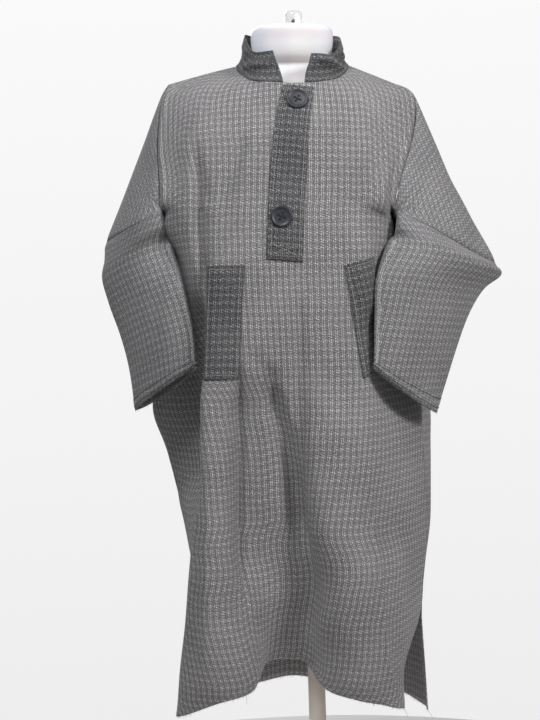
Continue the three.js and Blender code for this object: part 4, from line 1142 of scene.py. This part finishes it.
stitch_tree = bpy.data.node_groups.new("running stitch", "GeometryNodeTree")
tree_input(stitch_tree, "Path", "NodeSocketGeometry", None)
stitch_length_id = tree_input(stitch_tree, "Stitch length", "NodeSocketFloat", 0.0026)
stitch_pitch_id = tree_input(stitch_tree, "Stitch pitch", "NodeSocketFloat", 0.0036)
stitch_radius_id = tree_input(stitch_tree, "Thread radius", "NodeSocketFloat", 0.0004)
stitch_finish_id = tree_input(stitch_tree, "Finish", "NodeSocketMaterial", None)
group_in = node(stitch_tree, "NodeGroupInput", out="node")
pitch = Yarn(stitch_tree, group_in.outputs["Stitch pitch"])
spaced = node(stitch_tree, "GeometryNodeResampleCurve", {"mode": "LENGTH"},
              {"Curve": group_in.outputs["Path"], "Length": pitch})
tangent = node(stitch_tree, "GeometryNodeInputTangent")
turned_to = node(stitch_tree, "FunctionNodeAlignRotationToVector", {"axis": "X"},
                 {"Vector": tangent})
bead = node(stitch_tree, "GeometryNodeMeshUVSphere", {},
            {"Segments": 6, "Rings": 4, "Radius": 1.0})
size = node(stitch_tree, "ShaderNodeCombineXYZ", {}, {
    "X": Yarn(stitch_tree, group_in.outputs["Stitch length"]) * 0.5,
    "Y": group_in.outputs["Thread radius"], "Z": group_in.outputs["Thread radius"]})
end_tree(stitch_tree, spaced, bead, turned_to, size, group_in.outputs["Finish"])


def path_object(name, paths):
    """A curve object through lists of points in metres."""
    curve = bpy.data.curves.new(name, "CURVE")
    curve.dimensions = "3D"
    for path in paths:
        spline = curve.splines.new("POLY")
        spline.points.add(len(path) - 1)
        spline.points.foreach_set("co", np.concatenate(
            [path, np.ones((len(path), 1))], axis=1).ravel())
    made = bpy.data.objects.new(name, curve)
    scene.collection.objects.link(made)
    return made


def grown(name, paths, tree, inputs):
    """Runs a node tree on paths and keeps the result as a plain mesh."""
    source = path_object(name + "_path", paths)
    modifier = source.modifiers.new("sewing", "NODES")
    modifier.node_group = tree
    for identifier, value in inputs.items():
        modifier[identifier] = value
    bpy.context.view_layer.update()
    depsgraph = bpy.context.evaluated_depsgraph_get()
    mesh = bpy.data.meshes.new_from_object(source.evaluated_get(depsgraph))
    mesh.name = name
    mesh.polygons.foreach_set("use_smooth", [True] * len(mesh.polygons))
    bpy.data.objects.remove(source)
    made = bpy.data.objects.new(name, mesh)
    scene.collection.objects.link(made)
    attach(made, "root")
    return made


def stitches(name, paths, length=0.0026, pitch=0.0036, radius=0.00042,
             thread=None):
    """Running stitches along paths given in metres."""
    return grown(name, paths, stitch_tree, {
        stitch_length_id: length, stitch_pitch_id: pitch, stitch_radius_id: radius,
        stitch_finish_id: thread or pale_thread})


def on_grid(points, out, columns, rows, proud=1.15):
    """Points of a path over a grid, from shares of its columns and rows, lying on its face."""
    c = np.clip(np.asarray(columns, float), 0, 1) * (points.shape[1] - 1)
    r = np.clip(np.asarray(rows, float), 0, 1) * (points.shape[0] - 1)
    c, r = np.broadcast_arrays(c, r)
    i, j = np.minimum(c.astype(int), points.shape[1] - 2), np.minimum(
        r.astype(int), points.shape[0] - 2)
    a, b = (c - i)[:, None], (r - j)[:, None]
    lifted = points + out * proud
    return hung((lifted[j, i] * (1 - a) + lifted[j, i + 1] * a) * (1 - b)
                + (lifted[j + 1, i] * (1 - a) + lifted[j + 1, i + 1] * a) * b)


along = np.linspace(0, 1, 160)
stitches("placket_stitches", [
    on_grid(placket_points, placket_out, 0.13, 0.015 + 0.97 * along),
    on_grid(placket_points, placket_out, 0.90, 0.015 + 0.97 * along),
    on_grid(placket_points, placket_out, 0.13 + 0.77 * along, 0.975),
    on_grid(placket_points, placket_out, 0.13 + 0.77 * along, 0.905),
    on_grid(placket_points, placket_out, 0.13 + 0.77 * along, 0.91 + 0.06 * along),
    on_grid(placket_points, placket_out, 0.90 - 0.77 * along, 0.91 + 0.06 * along)])
for side, welt, out in (("right", right_welt_points, right_welt_out),
                        ("left", left_welt_points, left_welt_out)):
    stitches(f"pocket_welt_{side}_stitches", [
        on_grid(welt, out, 0.10, 0.03 + 0.94 * along),
        on_grid(welt, out, 0.90, 0.03 + 0.94 * along),
        on_grid(welt, out, 0.10 + 0.80 * along, 0.965),
        on_grid(welt, out, 0.10 + 0.80 * along, 0.035)])
stitches("collar_stitches", [on_grid(
    collar_points, grid_normals(collar_points, 1), 0.012 + 0.976 * along, 0.90, 1.6)])
for side, points in cuff_edges.items():
    out = grid_normals(points, -1 if side == "left" else 1, True)
    points, out = (np.concatenate([g, g[:, :1]], axis=1) for g in (points, out))
    full = np.linspace(0, 1, 320)
    stitches(f"cuff_{side}_stitches", [on_grid(points, out, full, 0.987, 1.5),
                                       on_grid(points, out, full, 0.962, 1.5)],
             length=0.0034, pitch=0.0048, radius=0.0007, thread=dark_thread)
    stitches(f"cuff_{side}_overlock", [on_grid(
        points, out, full, 0.974 + 0.008 * np.sin(full * 900), 1.4)],
        length=0.0022, pitch=0.0040, radius=0.0005)
    zigzag = 0.014 + 0.008 * np.sin(along * 400)
    stitches(f"arm_seam_{side}_overlock", [on_grid(
        points, out, zigzag + shift, 0.34 + 0.62 * along, 1.6) for shift in (0, 0.012)],
        length=0.0036, pitch=0.0042, radius=0.00095)

inside_back = grid_normals(back_points, -1)
for k, row in enumerate((0.80, 0.885, 0.95)):
    stitches(f"slit_basting_{k}", [on_grid(
        back_points, inside_back, 0.965 + 0 * along, row + 0.012 * along)],
        length=0.009, pitch=0.011, radius=0.0006)

# ---------------------------------------------------------------- raw edges
# The hem, slits and cuffs are cut and left raw, and so are the sleeves' inner seams. Short wool
# threads stand out of them and a few long white ends hang at the corners.
thread_end_tree = bpy.data.node_groups.new("frayed edge", "GeometryNodeTree")
tree_input(thread_end_tree, "Path", "NodeSocketGeometry", None)
end_length_id = tree_input(thread_end_tree, "End length", "NodeSocketFloat", 0.005)
end_pitch_id = tree_input(thread_end_tree, "End pitch", "NodeSocketFloat", 0.0016)
end_seed_id = tree_input(thread_end_tree, "Seed", "NodeSocketInt", 4)
end_finish_id = tree_input(thread_end_tree, "Finish", "NodeSocketMaterial", None)
group_in = node(thread_end_tree, "NodeGroupInput", out="node")
spaced = node(thread_end_tree, "GeometryNodeResampleCurve", {"mode": "LENGTH"}, {
    "Curve": group_in.outputs["Path"], "Length": group_in.outputs["End pitch"]})
bent = node(thread_end_tree, "GeometryNodeCurveQuadraticBezier", {}, {
    "Resolution": 4, "Start": (0, 0, 0.15), "Middle": (0.25, 0.1, -0.5),
    "End": (0.05, -0.25, -1.0)})
round_thread = node(thread_end_tree, "GeometryNodeCurvePrimitiveCircle", {}, {
    "Resolution": 4, "Radius": 0.05})
hair = node(thread_end_tree, "GeometryNodeCurveToMesh", {}, {
    "Curve": bent, "Profile Curve": round_thread, "Fill Caps": True})
lean = node(thread_end_tree, "FunctionNodeRandomValue", {"data_type": "FLOAT_VECTOR"}, {
    "Min": (-0.7, -0.7, 0.0), "Max": (0.7, 0.7, 6.28), "Seed": group_in.outputs["Seed"]})
longness = node(thread_end_tree, "FunctionNodeRandomValue", {"data_type": "FLOAT"}, {
    2: 0.25, 3: 1.0, "Seed": group_in.outputs["Seed"]}, out=1)
stretch = Yarn(thread_end_tree, group_in.outputs["End length"]) * longness
end_tree(thread_end_tree, spaced, hair, lean, stretch, group_in.outputs["Finish"])

wool_ends = clouded_finish("wool ends", (0.10, 0.10, 0.105), (0.66, 0.65, 0.63), 500.0,
                           stops=(0.35, 0.62), Roughness=0.95)


def frayed(name, paths, length, pitch, seed):
    """Short wool ends standing out of a raw edge given in metres."""
    return grown(name, paths, thread_end_tree, {
        end_length_id: length, end_pitch_id: pitch, end_seed_id: seed,
        end_finish_id: wool_ends})


for side, points in cuff_edges.items():
    raw_edge = [hung(points[18:, column]) for column in (0, 1, 2)]
    frayed(f"arm_seam_{side}_threads", raw_edge, 0.0060, 0.0010, 41)
loose = []
for corner, lean_x in ((front_points[-1, 0], -5), (back_points[-1, -1], 6),
                       (front_points[-1, 60], 1), (front_points[-1, -1], 4)):
    loose.append(hung([corner, corner + (lean_x * 0.4, -2, -4), corner + (lean_x, -2, -9),
                       corner + (lean_x * 1.2, -4, -13)]))
stitches("loose_thread_ends", loose, length=0.0024, pitch=0.0021, radius=0.0004)
hems = [hung(front_points[-1]), hung(back_points[-1])]
slit_rows = int(0.86 * front_points.shape[0])
slits = [hung(front_points[slit_rows:, -1])]
frayed("body_raw_edges", hems + slits, 0.0045, 0.0019, 4)
for side, points in cuff_edges.items():
    ring = np.concatenate([points[-1], points[-1][:1]])
    frayed(f"cuff_{side}_raw_edge", [hung(ring)], 0.0035, 0.0019, 11)

# ---------------------------------------------------------------- floor and light
# A plain pale floor under the stand, a soft lamp at the wearer's left, another high in front,
# a weaker one behind and an even pale surround.
floor_finish, _, floor_shader = new_finish("floor", Roughness=0.8)
floor_shader.inputs["Base Color"].default_value = (0.86, 0.85, 0.84, 1)
floor_points, floor_faces = turned([(0, -12), (1100, -12), (1100, 0), (0, 0)], 96)
floor = make_object("floor", floor_points / 1000, floor_faces, soft=False)
floor.data.materials.append(floor_finish)


def lamp(name, place, aim, size, power, tint):
    """A square soft lamp."""
    light = bpy.data.lights.new(name, "AREA")
    light.shape, light.size, light.energy, light.color = "SQUARE", size, power, tint
    made = bpy.data.objects.new(name, light)
    made.location = place
    made.rotation_euler = (Vector(aim) - Vector(place)).to_track_quat("-Z", "Y").to_euler()
    scene.collection.objects.link(made)


lamp("lamp_key", (1.85, -1.75, 2.2), (0.0, 0.0, 1.0), 0.6, 43.0, (1.0, 0.985, 0.975))
lamp("lamp_top", (-0.65, -1.5, 3.1), (-0.1, 0.0, 1.15), 0.9, 42.0, (0.98, 0.985, 1.0))
lamp("lamp_back", (-0.8, 2.3, 2.3), (0.0, 0.0, 0.9), 1.2, 30.0, (0.98, 0.985, 1.0))
SURROUND_LIGHT = 0.20
world = bpy.data.worlds.new("surround")
world.use_nodes = True
backing = world.node_tree.nodes["Background"]
backing.inputs["Color"].default_value = (0.93, 0.925, 0.93, 1)
seen_directly = node(world.node_tree, "ShaderNodeLightPath", out="Is Camera Ray")
way = node(world.node_tree, "ShaderNodeTexCoord", out="Generated")
height = node(world.node_tree, "ShaderNodeSeparateXYZ", {}, {"Vector": way}, out="Z")
rise = height * 0.22
paleness = 0.985 + rise.maths("MINIMUM", rise, 0.06)
world.node_tree.links.new(
    (SURROUND_LIGHT + seen_directly * (paleness - SURROUND_LIGHT)).socket,
    backing.inputs["Strength"])
scene.world = world
scene.view_settings.view_transform = "Standard"
